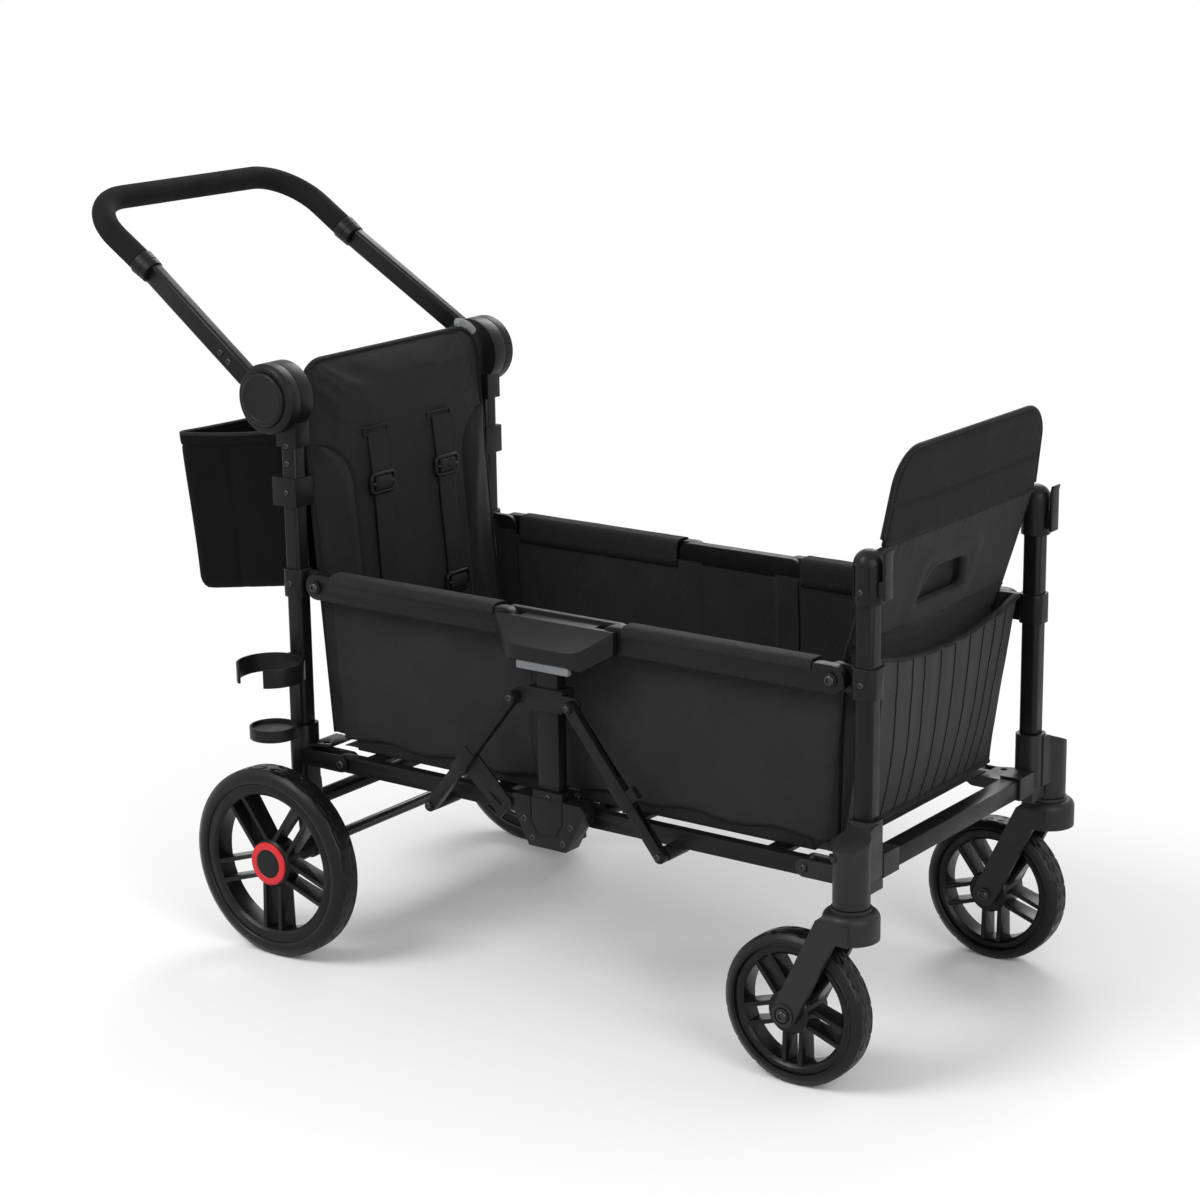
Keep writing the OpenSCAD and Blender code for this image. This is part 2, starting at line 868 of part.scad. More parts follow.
// a spoked wheel body with its outer side along Z, bored from its inner side up to a given height
module rim(r, w, hub, hub_w, bore, bore_top, spread) {
    difference() {
        union() {
            rim_ring(r, w);
            wheel_hub(hub, hub_w);
            for (i = [0 : spoke_count - 1], s = [-1, 1])
                rotate([0, 0, 360 / spoke_count * i + 90]) translate([0, s * spread, 0])
                    spoke_blade(spoke_root * hub, window_part * r + spoke_sink);
        }
        translate([0, 0, -hub_w]) cylinder(r = bore, h = hub_w + bore_top);
    }
}

module at_rear_wheel(side) {
    on_side(side) translate([axle_x, rear_y, axle_z]) rotate([-90, 0, 0]) children();
}

module at_front_wheel(side) {
    on_side(side) translate([front_x, swivel_y, front_r]) rotate([-90, 0, 0]) children();
}

module rear_tyre(side) {
    color("#1f2022") at_rear_wheel(side) rotate([90, 0, 0]) tyre(rear_r, rear_w);
}

module rear_rim(side) {
    color("#161719") at_rear_wheel(side) rim(rear_r, rear_w, rear_hub_r, rear_hub_w, axle_r + run,
        rear_hub_w / 2 - cap_skin + gap, rear_spread);
}

module hub_ring(side) {
    color("#c5161f") at_rear_wheel(side) translate([0, 0, rear_hub_w / 2 + touch]) rotate_extrude()
        polygon([[ring_in, 0], [ring_r, 0], [ring_r, ring_t - ring_edge], [ring_r - ring_edge, ring_t],
            [ring_in + ring_edge, ring_t], [ring_in, ring_t - ring_edge]]);
}

module front_tyre(side) {
    color("#1f2022") at_front_wheel(side) rotate([90, 0, 0]) tyre(front_r, front_w);
}

module front_rim(side) {
    color("#161719") at_front_wheel(side) rim(front_r, front_w, front_hub_r, front_hub_w,
        front_pin_r + run,
        front_hub_w, front_spread);
}

module fork_leg(y0, y1) {
    side_x = cos(fork_lean) * fork_boss_r;
    side_z = sin(fork_lean) * fork_boss_r;
    difference() {
        union() {
            plate_along_y(y0, y1) polygon([[front_x - side_x, front_r + side_z],
                [swivel_x - fork_back, fork_z1 - crown_round],
                [swivel_x + fork_front, fork_z1 - crown_round], [swivel_x + fork_front, fork_z0],
                [swivel_x - fork_throat, fork_z0], [front_x + side_x, front_r - side_z]]);
            pin_along_y(front_x, front_r, fork_boss_r, y0, y1);
        }
        pin_along_y(front_x, front_r, front_pin_r + run, y0 - lap, y1 + lap);
    }
}

module fork_crown() {
    neck_top = stem_z0 - lap - fork_z0;
    translate([swivel_x, swivel_y, fork_z0]) {
        rotate_extrude() polygon(concat([[0, 0], [crown_r, 0]],
            arc([crown_r - crown_round, crown_h - crown_round], crown_round, 0, 90),
            [[neck_r, crown_h], [neck_r, neck_top], [0, neck_top]]));
        cylinder(r = fork_pin_r, h = fork_pin_top - fork_z0);
    }
}

// filled shoulder that joins the legs behind the crown
module fork_shoulder() {
    back = swivel_x - fork_back;
    half = crown_r - lap;
    low = fork_z0 + lap;
    top = fork_z1 - lap;
    intersection() {
        plate_along_y(swivel_y - half, swivel_y + half) polygon([[back - fork_heel, low],
            [back, top - crown_round], [back + crown_round, top], [swivel_x, top], [swivel_x, low]]);
        plate_along_x(back - fork_heel - lap, swivel_x + lap) polygon(concat(
            [[swivel_y - half, low - lap], [swivel_y + half, low - lap]],
            arc([swivel_y + half - crown_round, top - crown_round], crown_round, 0, 90),
            arc([swivel_y - half + crown_round, top - crown_round], crown_round, 90, 180)));
    }
}

// raised ring round the axle bolt on the outer face of a leg
module fork_ring() {
    difference() {
        pin_along_y(front_x, front_r, fork_ring_r, swivel_y + crown_r - lap,
            swivel_y + crown_r + fork_ring_t);
        pin_along_y(front_x, front_r, fork_ring_in, swivel_y + crown_r - 2 * lap,
            swivel_y + crown_r + 2 * fork_ring_t);
    }
}

module fork(side) {
    color("#1c1d1f") on_side(side) {
        fork_crown();
        fork_shoulder();
        fork_leg(swivel_y - crown_r, swivel_y - crown_r + fork_t);
        fork_leg(swivel_y + crown_r - fork_t, swivel_y + crown_r);
        fork_ring();
    }
}

module front_bolt(side) {
    color("#2a2b2d") on_side(side) {
        pin_along_y(front_x, front_r, front_pin_r, swivel_y - crown_r - bolt_h,
            swivel_y + crown_r + bolt_h);
        pin_along_y(front_x, front_r, bolt_r, swivel_y + crown_r + touch, swivel_y + crown_r + bolt_h);
        pin_along_y(front_x, front_r, bolt_r, swivel_y - crown_r - bolt_h, swivel_y - crown_r - touch);
    }
}

// rails and floor
module top_rail() {
    difference() {
        round_bar(-top_x, -top_in, top_z, top_r, rail_y0, rail_y1);
        pin_along_y(-top_x, top_z, pin_r + run, rail_y0 - lap, rail_y1 + lap);
        pin_along_y(-top_in, top_z, pin_r + run, rail_y0 - lap, rail_y1 + lap);
    }
}

module rear_top_rails() {
    color("#1d1e20") both_sides() top_rail();
}

module front_top_rails() {
    color("#1d1e20") to_front() both_sides() top_rail();
}

module low_rail() {
    difference() {
        union() {
            round_bar(-low_x, -low_in, low_z, low_r, rail_y0, rail_y1);
            pin_along_y(-link_low_x, link_low_z + stud_rise, stud_r, rail_y0, link_y0 - gap);
        }
        pin_along_y(-low_x, low_z, pin_r + run, rail_y0 - lap, rail_y1 + lap);
        pin_along_y(-low_in, low_z, pin_r + run, rail_y0 - lap, rail_y1 + lap);
    }
}

module low_rails() {
    both_sides() low_rail();
    for (x = slat_places) block(-x - slat_half_w, slat_half_w - x, -rail_y0 - lap, rail_y0 + lap,
        slat_z1 - slat_t, slat_z1);
}

module rear_lower_rails() {
    color("#1a1b1d") low_rails();
}

module front_lower_rails() {
    color("#1a1b1d") to_front() low_rails();
}

module floor_board() {
    block(-board_out, -board_in, -board_half, board_half, board_z0, board_z0 + board_t);
}

module rear_floor_board() {
    color("#26272a") floor_board();
}

module front_floor_board() {
    color("#26272a") to_front() floor_board();
}

module hem() {
    block(-top_x + hem_out, -top_in - hem_in, side_y0, side_y1, hem_z0, hem_z1);
    block(-top_x + hem_out, -top_in - hem_in, side_y0, rail_y1, hem_z1 - wall_t, hem_z1);
}

module rear_hems() {
    color("#1e1f21") both_sides() hem();
}

module front_hems() {
    color("#1e1f21") to_front() both_sides() hem();
}

// lower edge of a side wall, drawn up in shallow scallops between its ties
function scallop(from, to) = [for (i = [0 : scallops * scallop_steps])
    let (t = i / (scallops * scallop_steps))
    [from + (to - from) * t, tub_z + scallop_h * abs(sin(180 * scallops * t))]];

module side_wall(outer) {
    plate_along_y(side_y0, side_y1) polygon(concat(scallop(-outer[0], -side_split),
        [[-side_split, side_top], [-outer[1], side_top]]));
}

module rear_side_panels() {
    color("#1f2022") both_sides() side_wall(side_back);
}

module front_side_panels() {
    color("#1f2022") to_front() both_sides() side_wall(side_front);
}

// centre frame
module center_columns() {
    color("#1b1c1e") both_sides() difference() {
        block(-column_half, column_half, column_y0, column_y1, column_z0, column_z1);
        block(column_wall - column_half, column_half - column_wall, column_y0 + column_wall,
            column_y1 - column_wall, column_z0 - lap, column_z1 + lap);
    }
}

module tray_outline(inset) {
    top = groove_half - inset;
    low = groove_low_half - inset;
    polygon([[-top, bracket_z1], [-top, groove_z], [-low, groove_low_z + inset],
        [low, groove_low_z + inset], [top, groove_z], [top, bracket_z1]]);
}

module bracket_face() {
    plate_along_y(cheek_y0, face_y) polygon([[-bracket_half, bracket_z1 - bracket_cut],
        [bracket_cut - bracket_half, bracket_z1], [bracket_half - bracket_cut, bracket_z1],
        [bracket_half, bracket_z1 - bracket_cut], [bracket_low_half, bracket_z0], [-bracket_low_half,
            bracket_z0]]);
    block(-collar_half, collar_half, cheek_y0, face_y - bracket_pad, bracket_z1 - lap, collar_z1);
}

module center_bracket() {
    round_bar(-low_in, low_in, low_z, low_r + bracket_pad, plate_y0, plate_y1);
    block(-low_in + bracket_web, low_in - bracket_web, plate_y1 - lap, cheek_y0 + lap,
        low_z - low_r, low_z + low_r);
    for (s = [-1, 1]) pin_along_y(s * low_in, low_z, pin_r, plate_y1 - lap, cheek_y0 + lap);
    block(-collar_half, collar_half, plate_y0, plate_y1, center_tube_z - tube_plate, low_z);
    difference() {
        bracket_face();
        block(-column_half - touch, column_half + touch, column_y0 - touch, column_y1 + touch,
            column_z0 - touch, collar_z1 + lap);
        plate_along_y(face_y - groove_deep, face_y + lap) difference() {
            tray_outline(0);
            tray_outline(groove_w);
        }
    }
}

module center_brackets() {
    color("#1d1e20") both_sides() center_bracket();
}

// half of the hood's plan, drawn in at its end
module latch_plan() {
    deep = latch_y - cheek_y0 - latch_side;
    polygon(concat([[-lap, cheek_y0], [-lap, latch_y]],
        [for (p = latch_round) [latch_flat * p[0], latch_y - deep * p[1]]],
        [[latch_half, cheek_y0 + latch_side], [latch_half, cheek_y0]]));
}

// hood of the latch: a plan with drawn-in ends, a sloping top and a lower edge that rises to the ends
module latch_hood() {
    intersection() {
        translate([0, 0, latch_z0]) linear_extrude(latch_z1 - latch_z0) union() {
            latch_plan();
            mirror([1, 0, 0]) latch_plan();
        }
        plate_along_x(-latch_half, latch_half) polygon([[cheek_y0, latch_z0], [latch_y - latch_lip,
            latch_z0],
            [latch_y, latch_z0 + latch_lip], [latch_y, latch_z1 - latch_fall], [cheek_y0 + latch_side,
                latch_z1],
            [cheek_y0, latch_z1]]);
        plate_along_y(cheek_y0, latch_y) polygon([[-latch_half, top_z - top_r], [-latch_half, latch_z1],
            [latch_half, latch_z1], [latch_half, top_z - top_r], [latch_half - latch_rise, latch_z0],
            [latch_rise - latch_half, latch_z0]]);
    }
}

module latch_housing() {
    round_bar(-top_in, top_in, top_z, top_r, plate_y0, plate_y1);
    block(-web_half, web_half, plate_y1 - lap, cheek_y0 + lap, top_z - top_r, latch_z1);
    for (s = [-1, 1]) pin_along_y(s * top_in, top_z, pin_r - pin_gap + run, plate_y1 - lap,
        cheek_y0 + lap);
    difference() {
        latch_hood();
        block(-column_half - touch, column_half + touch, column_y0 - touch, column_y1 + touch,
            latch_z0 - lap, column_z1 + touch);
        block(-latch_bar_half - run, latch_bar_half + run, column_y1 + latch_rail_gap,
            latch_y - latch_wall + run,
            latch_z0 - lap, latch_pocket_z);
    }
}

module latch_housings() {
    color("#242528") both_sides() latch_housing();
}

module center_cross_tube() {
    color("#18191b") cross_tube(0, center_tube_z, plate_y0);
}

module latch_bar(side) {
    color("#8c8f93") on_side(side) block(-latch_bar_half, latch_bar_half,
        column_y1 + latch_rail_gap + run,
        latch_y - latch_wall, latch_bar_z0, latch_bar_z0 + latch_bar_h);
}

module link_slider() {
    difference() {
        union() {
            block(-slider_half_w, slider_half_w, column_y0 - slider_back, face_y,
                slider_z - slider_half_h,
                slider_z + slider_half_h);
            round_bar(-link_top_x, link_top_x, slider_z, stud_r, column_y1 + ear_gap, face_y);
        }
        block(-column_half - slide_run, column_half + slide_run, column_y0 - slide_run,
            column_y1 + slide_run, slider_z - 2 * slider_half_h, slider_z + 2 * slider_half_h);
    }
    for (s = [-1, 1]) {
        pin_along_y(s * link_top_x, slider_z, link_pin_r, face_y - lap, link_y1 + lap);
        pin_along_y(s * link_top_x, slider_z, link_r - lap, link_y1 + gap, head_y);
    }
}

module link_sliders() {
    color("#202123") both_sides() link_slider();
}

// straight brace from the sliding block down to the lower rail, drawn for the rear half
module brace() {
    difference() {
        translate([-link_top_x, 0, slider_z]) rotate([0, -link_slope, 0]) {
            round_bar(-link_len, 0, 0, link_r, link_y0, link_y1);
            children();
        }
        pin_along_y(-link_top_x, slider_z, link_pin_r + run, link_y0 - lap, link_y1 + lap);
    }
    pin_along_y(-link_low_x, link_low_z, link_r - 2 * lap, link_y1 - lap, head_y);
}

// folded plate on the rear brace, with a slot near its tip
module hook_plate() {
    low = -hook_len - hook_tip;
    plate_along_y(link_y0, link_y0 + hook_t) difference() {
        polygon([[-hook_s1, 0], [-hook_s0, hook_tip], [-hook_s0 - hook_skew, -hook_len],
            [-hook_s0 - 2 * hook_skew, low], [-hook_s1 - hook_skew / 2, low],
            [-hook_s1 + hook_tip, low + 2 * link_t], [-hook_s1 + hook_tip, -link_t]]);
        polygon([[-hook_s0 - 3 * hook_skew, low + 3 * link_t], [-hook_s0 - 2 * hook_skew, low + link_t],
            [-hook_s0 - 3 * hook_skew, low + hook_skew], [-hook_s1 + link_t, low + 2 * link_t]]);
    }
}

module rear_links() {
    color("#1d1e20") both_sides() brace() {
        hook_plate();
        block(-hook_s1, -hook_s0, link_y0 + gap, link_y1 + sleeve_grow, -link_r - sleeve_grow,
            link_r + sleeve_grow);
    }
}

module front_links() {
    color("#1d1e20") to_front() both_sides() brace() {
        block(-link_len * sleeve_part[1], -link_len * sleeve_part[0], link_y0 + gap,
            link_y1 + sleeve_grow,
            -link_r - sleeve_grow, link_r + sleeve_grow);
        block(-link_len * knob_part[1], -link_len * knob_part[0], link_y0 + sleeve_grow, link_y1,
            link_r, link_r + knob_h);
    }
}

// front frame
module front_posts() {
    color("#18191b") to_front() both_sides() post_tube(-post_reach, post_foot, front_post_top);
}

// swivel stem and its web, cut by a sloping top
module stem_hood() {
    intersection() {
        union() {
            block(-post_reach - web_back, -post_reach + web_front, post_y, swivel_y, casting_z0,
                casting_z1);
            translate([-swivel_x, swivel_y, stem_z0]) cylinder(r = stem_r, h = casting_z1 - stem_z0);
        }
        plate_along_x(-swivel_x - stem_r, -swivel_x + 2 * stem_r) polygon([[post_y, stem_z0],
            [swivel_y + stem_r, stem_z0], [swivel_y + stem_r, hood_out], [post_y + post_half, hood_in],
            [post_y, hood_in]]);
    }
    translate([-swivel_x, swivel_y, lock_z]) rotate([0, 0, 45])
        translate([stem_r - lap, -lock_size[1] / 2, 0]) cube(lock_size);
}

// square socket that takes the end of the front cross bar
module bar_socket() {
    half = crossbar_size / 2 + socket_wall;
    inner = crossbar_size / 2 + touch;
    y1 = post_y - post_half - corner_wall + lap;
    difference() {
        block(-post_reach - half, -post_reach + half, y1 - socket_len, y1, crossbar_z - half,
            crossbar_z + half);
        block(-post_reach - inner, -post_reach + inner, y1 - socket_len - lap, y1 - lap,
            crossbar_z - inner,
            crossbar_z + inner);
    }
}

module front_casting() {
    difference() {
        union() {
            post_bar(-post_reach, casting_z0, casting_z1, corner_wall);
            stem_hood();
        }
        post_bar(-post_reach, post_foot - touch, casting_z1 + lap, touch);
        translate([-swivel_x, swivel_y, stem_z0 - lap])
            cylinder(r = fork_pin_r + run, h = fork_bore_top - stem_z0 + lap);
    }
    block(-post_reach - foot_half, -post_reach + foot_half, post_y - foot_drop, cheek_y0 + lap,
        low_z - foot_drop, casting_z0 + lap);
    bar_socket();
    corner_channel();
    gusset();
}

module front_castings() {
    color("#232427") to_front() both_sides() front_casting();
}

module front_cross_bar() {
    half = crossbar_size / 2;
    hollow = half - crossbar_wall;
    end = post_y - post_half - corner_wall;
    color("#1a1b1d") difference() {
        block(post_reach - half, post_reach + half, touch - end, end - touch, crossbar_z - half,
            crossbar_z + half);
        block(post_reach - hollow, post_reach + hollow, -end, end, crossbar_z - hollow,
            crossbar_z + hollow);
    }
}

module cap_profile() {
    translate([0, cap_z0]) square([cap_r, cap_wall_z - cap_z0]);
    intersection() {
        translate([0, cap_wall_z]) circle(cap_r);
        translate([0, cap_wall_z]) square([cap_r, cap_r]);
    }
}

module post_cap() {
    difference() {
        translate([post_reach, post_y, 0]) rotate_extrude() cap_profile();
        post_bar(post_reach, cap_z0 - lap, front_post_top + touch, touch);
        for (s = [-1, 1]) translate([post_reach + s * cap_r / 2, post_y + cap_r * cos(30),
            cap_z0 + cap_r / 2])
            rotate([0, 0, s * -30]) translate([-cap_slot / 2, -cap_slot_deep, 0])
                cube([cap_slot, 2 * cap_slot_deep, cap_wall_z - cap_z0 - cap_r / 2]);
    }
}

module post_caps() {
    color("#1b1c1e") both_sides() post_cap();
}

// hook plate that stands off the front of a cap, its tip bent forward
module cap_clip() {
    plate_along_y(post_y - clip_half, post_y + clip_half) polygon([[cap_r - lap, clip_z0 + clip_t],
        [cap_r + clip_reach - clip_t, clip_z0 + clip_t], [cap_r + clip_reach - clip_t, clip_z0],
        [cap_r + clip_reach, clip_z0], [cap_r + clip_reach, clip_z1 - 2 * clip_t],
            [cap_r + clip_reach + clip_t / 2, clip_z1],
        [cap_r + clip_reach - clip_t / 2, clip_z1], [cap_r + clip_reach - clip_t, clip_z1 - 2 * clip_t],
        [cap_r + clip_reach - clip_t, clip_z0 + clip_t + clip_foot], [cap_r - lap,
            clip_z0 + clip_t + clip_foot]]);
}

module cap_clips() {
    color("#1d1e20") translate([post_reach, 0, 0]) difference() {
        both_sides() cap_clip();
        both_sides() translate([0, post_y, cap_z0]) cylinder(r = cap_r + touch,
            h = cap_wall_z - cap_z0 + cap_r);
    }
}

module front_rail_brackets() {
    color("#1d1e20") to_front() both_sides() rail_bracket();
}

module front_end_wall() {
    color("#212225") difference() {
        plate_along_y(-panel_half, panel_half) polygon([[front_foot_x, tub_z], [front_knee_x,
            front_knee_z],
            [head_x - front_t / 2, head_z - head_gap], [head_x + front_t / 2, head_z - head_gap],
            [front_knee_x + front_t, front_knee_z], [front_foot_x + front_t, tub_z]]);
        pin_along_y(head_x, head_z, bead_r + gap, -panel_half - lap, panel_half + lap);
        plate_along_x(front_foot_x - slot_reach, head_x + slot_reach) polygon([[-slot_half, slot_z0],
            [slot_half, slot_z0], [slot_top_half, slot_z1], [-slot_top_half, slot_z1]]);
    }
}

// upper edge of the mesh pocket, lowest in the middle
function pocket_edge() = [for (i = [0 : sag_steps]) let (t = 1 - 2 * i / sag_steps)
    [t * pocket_half, pocket_top - pocket_sag * (1 - t * t)]];

module mesh_pocket() {
    back_x = front_foot_x + front_t + 2 * gap;
    knee_x = front_knee_x + front_t + 2 * gap;
    out_x = front_knee_x + front_t + pocket_out;
    low = tub_z + pocket_foot;
    color("#1a1b1d") {
        intersection() {
            plate_along_y(-pocket_half, pocket_half) polygon([[back_x, low], [back_x + wall_t, low],
                [out_x, pocket_top], [out_x - wall_t, pocket_top], [back_x + lap, low + pocket_rise]]);
            plate_along_x(back_x - lap, out_x + lap)
                polygon(concat([[-pocket_half, low], [pocket_half, low]], pocket_edge()));
        }
        both_sides() plate_along_y(pocket_half - wall_t, pocket_half) polygon([[back_x, low],
            [out_x - lap, pocket_top], [knee_x + pocket_rise, pocket_top], [knee_x, front_knee_z]]);
    }
}

module head_front() {
    top = head_z + head_h - head_corner;
    edge = panel_half - head_taper - head_corner;
    polygon(concat([[-panel_half, head_z], [panel_half, head_z]],
        arc([edge, top], head_corner, head_turn, 90),
        arc([-edge, top], head_corner, 90, 180 - head_turn)));
}

module head_panel() {
    color("#232427") {
        pin_along_y(head_x, head_z, bead_r, -panel_half, panel_half);
        intersection() {
            plate_along_y(-panel_half, panel_half) polygon([[head_x - head_t / 2, head_z],
                [head_x + head_t / 2, head_z], [head_x + head_lean + head_t / 2, head_z + head_h],
                [head_x + head_lean - head_t / 2, head_z + head_h]]);
            plate_along_x(head_x - head_t, head_x + head_lean + head_t) head_front();
        }
    }
}

// every part is moved so that the wagon stands centred over the origin
module placed() {
    translate([origin_x, 0, 0]) children();
}

placed() rear_posts();
placed() rear_corners();
placed() rear_axle();
placed() rear_cross_tube();
placed() rear_rail_brackets();
placed() hub_bases();
placed() bag_clamps();
placed() storage_bag();
placed() cup_holder();
placed() rear_seat_back();
placed() harness_straps();
placed() handle_arms();
placed() grip_collars();
placed() grip_foam();
placed() hub_covers();
placed() pivot_button(-1);  // pivot_button_right
placed() pivot_button(1);  // pivot_button_left
placed() rear_tyre(-1);  // rear_tyre_right
placed() rear_tyre(1);  // rear_tyre_left
placed() rear_rim(-1);  // rear_rim_right
placed() rear_rim(1);  // rear_rim_left
placed() hub_ring(-1);  // hub_ring_right
placed() hub_ring(1);  // hub_ring_left
placed() rear_lower_rails();
placed() rear_floor_board();
placed() rear_top_rails();
placed() rear_hems();
placed() rear_side_panels();
placed() center_columns();
placed() center_brackets();
placed() latch_housings();
placed() center_cross_tube();
placed() latch_bar(-1);  // latch_bar_right
placed() latch_bar(1);  // latch_bar_left
placed() link_sliders();
placed() rear_links();
placed() front_links();
placed() front_lower_rails();
placed() front_floor_board();
placed() front_top_rails();
placed() front_hems();
placed() front_side_panels();
placed() front_posts();
placed() front_castings();
placed() front_cross_bar();
placed() post_caps();
placed() cap_clips();
placed() front_rail_brackets();
placed() front_end_wall();
placed() mesh_pocket();
placed() head_panel();
placed() fork(-1);  // fork_right
placed() fork(1);  // fork_left
placed() front_tyre(-1);  // front_tyre_right
placed() front_tyre(1);  // front_tyre_left
placed() front_rim(-1);  // front_rim_right
placed() front_rim(1);  // front_rim_left
placed() front_bolt(-1);  // front_bolt_right
placed() front_bolt(1);  // front_bolt_left
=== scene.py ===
"""Folding stroller wagon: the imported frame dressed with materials, cloth, pads and hardware."""

import json
import math

import bmesh
import bpy
import numpy as np
from mathutils import Matrix, Vector, noise
from mathutils.bvhtree import BVHTree

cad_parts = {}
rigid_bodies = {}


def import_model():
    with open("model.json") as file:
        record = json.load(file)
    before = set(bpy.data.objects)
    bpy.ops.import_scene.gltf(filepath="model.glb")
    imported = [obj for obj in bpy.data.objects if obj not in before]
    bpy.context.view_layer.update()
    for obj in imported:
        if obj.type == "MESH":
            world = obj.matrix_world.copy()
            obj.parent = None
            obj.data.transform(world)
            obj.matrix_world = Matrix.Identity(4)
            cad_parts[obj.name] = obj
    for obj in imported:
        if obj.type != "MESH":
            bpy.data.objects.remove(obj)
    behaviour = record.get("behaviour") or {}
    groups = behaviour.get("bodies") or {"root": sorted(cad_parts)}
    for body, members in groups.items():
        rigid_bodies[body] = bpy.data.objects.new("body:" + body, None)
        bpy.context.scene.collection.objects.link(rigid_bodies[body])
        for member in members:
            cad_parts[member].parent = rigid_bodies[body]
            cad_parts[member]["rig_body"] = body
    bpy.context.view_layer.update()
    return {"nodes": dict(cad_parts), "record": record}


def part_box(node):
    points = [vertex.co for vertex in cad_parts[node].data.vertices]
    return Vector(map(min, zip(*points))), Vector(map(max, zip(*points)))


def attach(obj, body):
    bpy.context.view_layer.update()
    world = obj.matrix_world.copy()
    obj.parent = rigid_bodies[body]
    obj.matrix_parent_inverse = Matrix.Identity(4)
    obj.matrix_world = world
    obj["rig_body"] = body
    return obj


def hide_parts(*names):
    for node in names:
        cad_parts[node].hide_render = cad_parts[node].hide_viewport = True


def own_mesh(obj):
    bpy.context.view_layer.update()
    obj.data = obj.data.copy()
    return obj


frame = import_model()
NODES = frame["nodes"]
SCENE = bpy.context.scene

# Millimetre positions below count from the fold centre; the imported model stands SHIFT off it.
REAR_AXLE = (-450, 137)
AXLE_LOW, AXLE_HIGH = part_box("rear_axle")
SHIFT = (AXLE_LOW.x + AXLE_HIGH.x) / 2 - REAR_AXLE[0] / 1000
SIDES = {"right": -1, "left": 1}
ENDS = {"rear": -1, "front": 1}


def at(x, y, z):
    """A point given in millimetres from the fold centre, in metres in the model's frame."""
    return Vector((x / 1000 + SHIFT, y / 1000, z / 1000))


def body_of(node):
    return NODES[node]["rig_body"]


# Materials.

MIDDLE = (0.3, 0.7)  # the part of a noise texture that carries a change


class Tree:
    """A node tree, with a short call for each kind of node used here."""

    def __init__(self, owner):
        owner.use_nodes = True
        self.nodes = owner.node_tree.nodes
        self.links = owner.node_tree.links

    def feed(self, socket, value):
        """Joins a socket to another node's output, or sets its value."""
        if isinstance(value, bpy.types.NodeSocket):
            self.links.new(value, socket)
        else:
            socket.default_value = value

    def add(self, kind, inputs, **settings):
        """A new node with its settings made and its inputs fed."""
        node = self.nodes.new(kind)
        for name, value in settings.items():
            setattr(node, name, value)
        for key, value in inputs.items():
            self.feed(node.inputs[key], value)
        return node

    def calc(self, kind, a, b):
        return self.add("ShaderNodeMath", {0: a, 1: b}, operation=kind).outputs[0]

    def noise(self, coords, scale, detail=3.0):
        sizes = {"Vector": coords, "Scale": scale, "Detail": detail}
        return self.add("ShaderNodeTexNoise", sizes).outputs["Fac"]

    def wave(self, coords, period, axis):
        """Bands of the given period in metres across one axis."""
        sizes = {"Vector": coords, "Scale": math.pi / 10 / period}
        node = self.add("ShaderNodeTexWave", sizes, wave_type="BANDS", bands_direction=axis)
        return node.outputs["Fac"]

    def drift(self, fac, color, low, high):
        """The colour, multiplied by low to high along a texture."""
        node = self.add("ShaderNodeValToRGB", {"Fac": fac})
        for element, place, factor in zip(node.color_ramp.elements, MIDDLE, (low, high)):
            element.position = place
            element.color = (*(min(1.0, c * factor) for c in color), 1)
        return node.outputs["Color"]

    def uneven(self, fac, rough):
        """A roughness that varies a little along a texture."""
        low, high = MIDDLE
        ends = {"From Min": low, "From Max": high, "To Min": rough - 0.06, "To Max": rough + 0.08}
        return self.add("ShaderNodeMapRange", {"Value": fac, **ends}).outputs["Result"]

    def bump(self, height, depth):
        node = self.add("ShaderNodeBump", {"Height": height, "Distance": depth, "Strength": 1.0})
        return node.outputs["Normal"]


def new_material(name, color, rough, gloss=0.5):
    """A Principled material with its tree, its shader's inputs and its coordinates."""
    mat = bpy.data.materials.new(name)
    tree = Tree(mat)
    bsdf = tree.nodes["Principled BSDF"].inputs
    bsdf["Base Color"].default_value = (*color, 1)
    bsdf["Roughness"].default_value = rough
    bsdf["Specular IOR Level"].default_value = gloss
    return mat, tree, bsdf, tree.add("ShaderNodeTexCoord", {}).outputs


def hard_material(name, color, rough, grain, depth, gloss):
    """Moulded plastic, coated metal or rubber: fine grain, slow colour drift and uneven gloss."""
    mat, tree, bsdf, coords = new_material(name, color, rough, gloss)
    place = coords["Object"]
    tree.feed(bsdf["Base Color"], tree.drift(tree.noise(place, 9.0), color, 0.88, 1.14))
    tree.feed(bsdf["Roughness"], tree.uneven(tree.noise(place, 38.0, 5.0), rough))
    tree.feed(bsdf["Normal"], tree.bump(tree.noise(place, grain, 2.0), depth))
    return mat


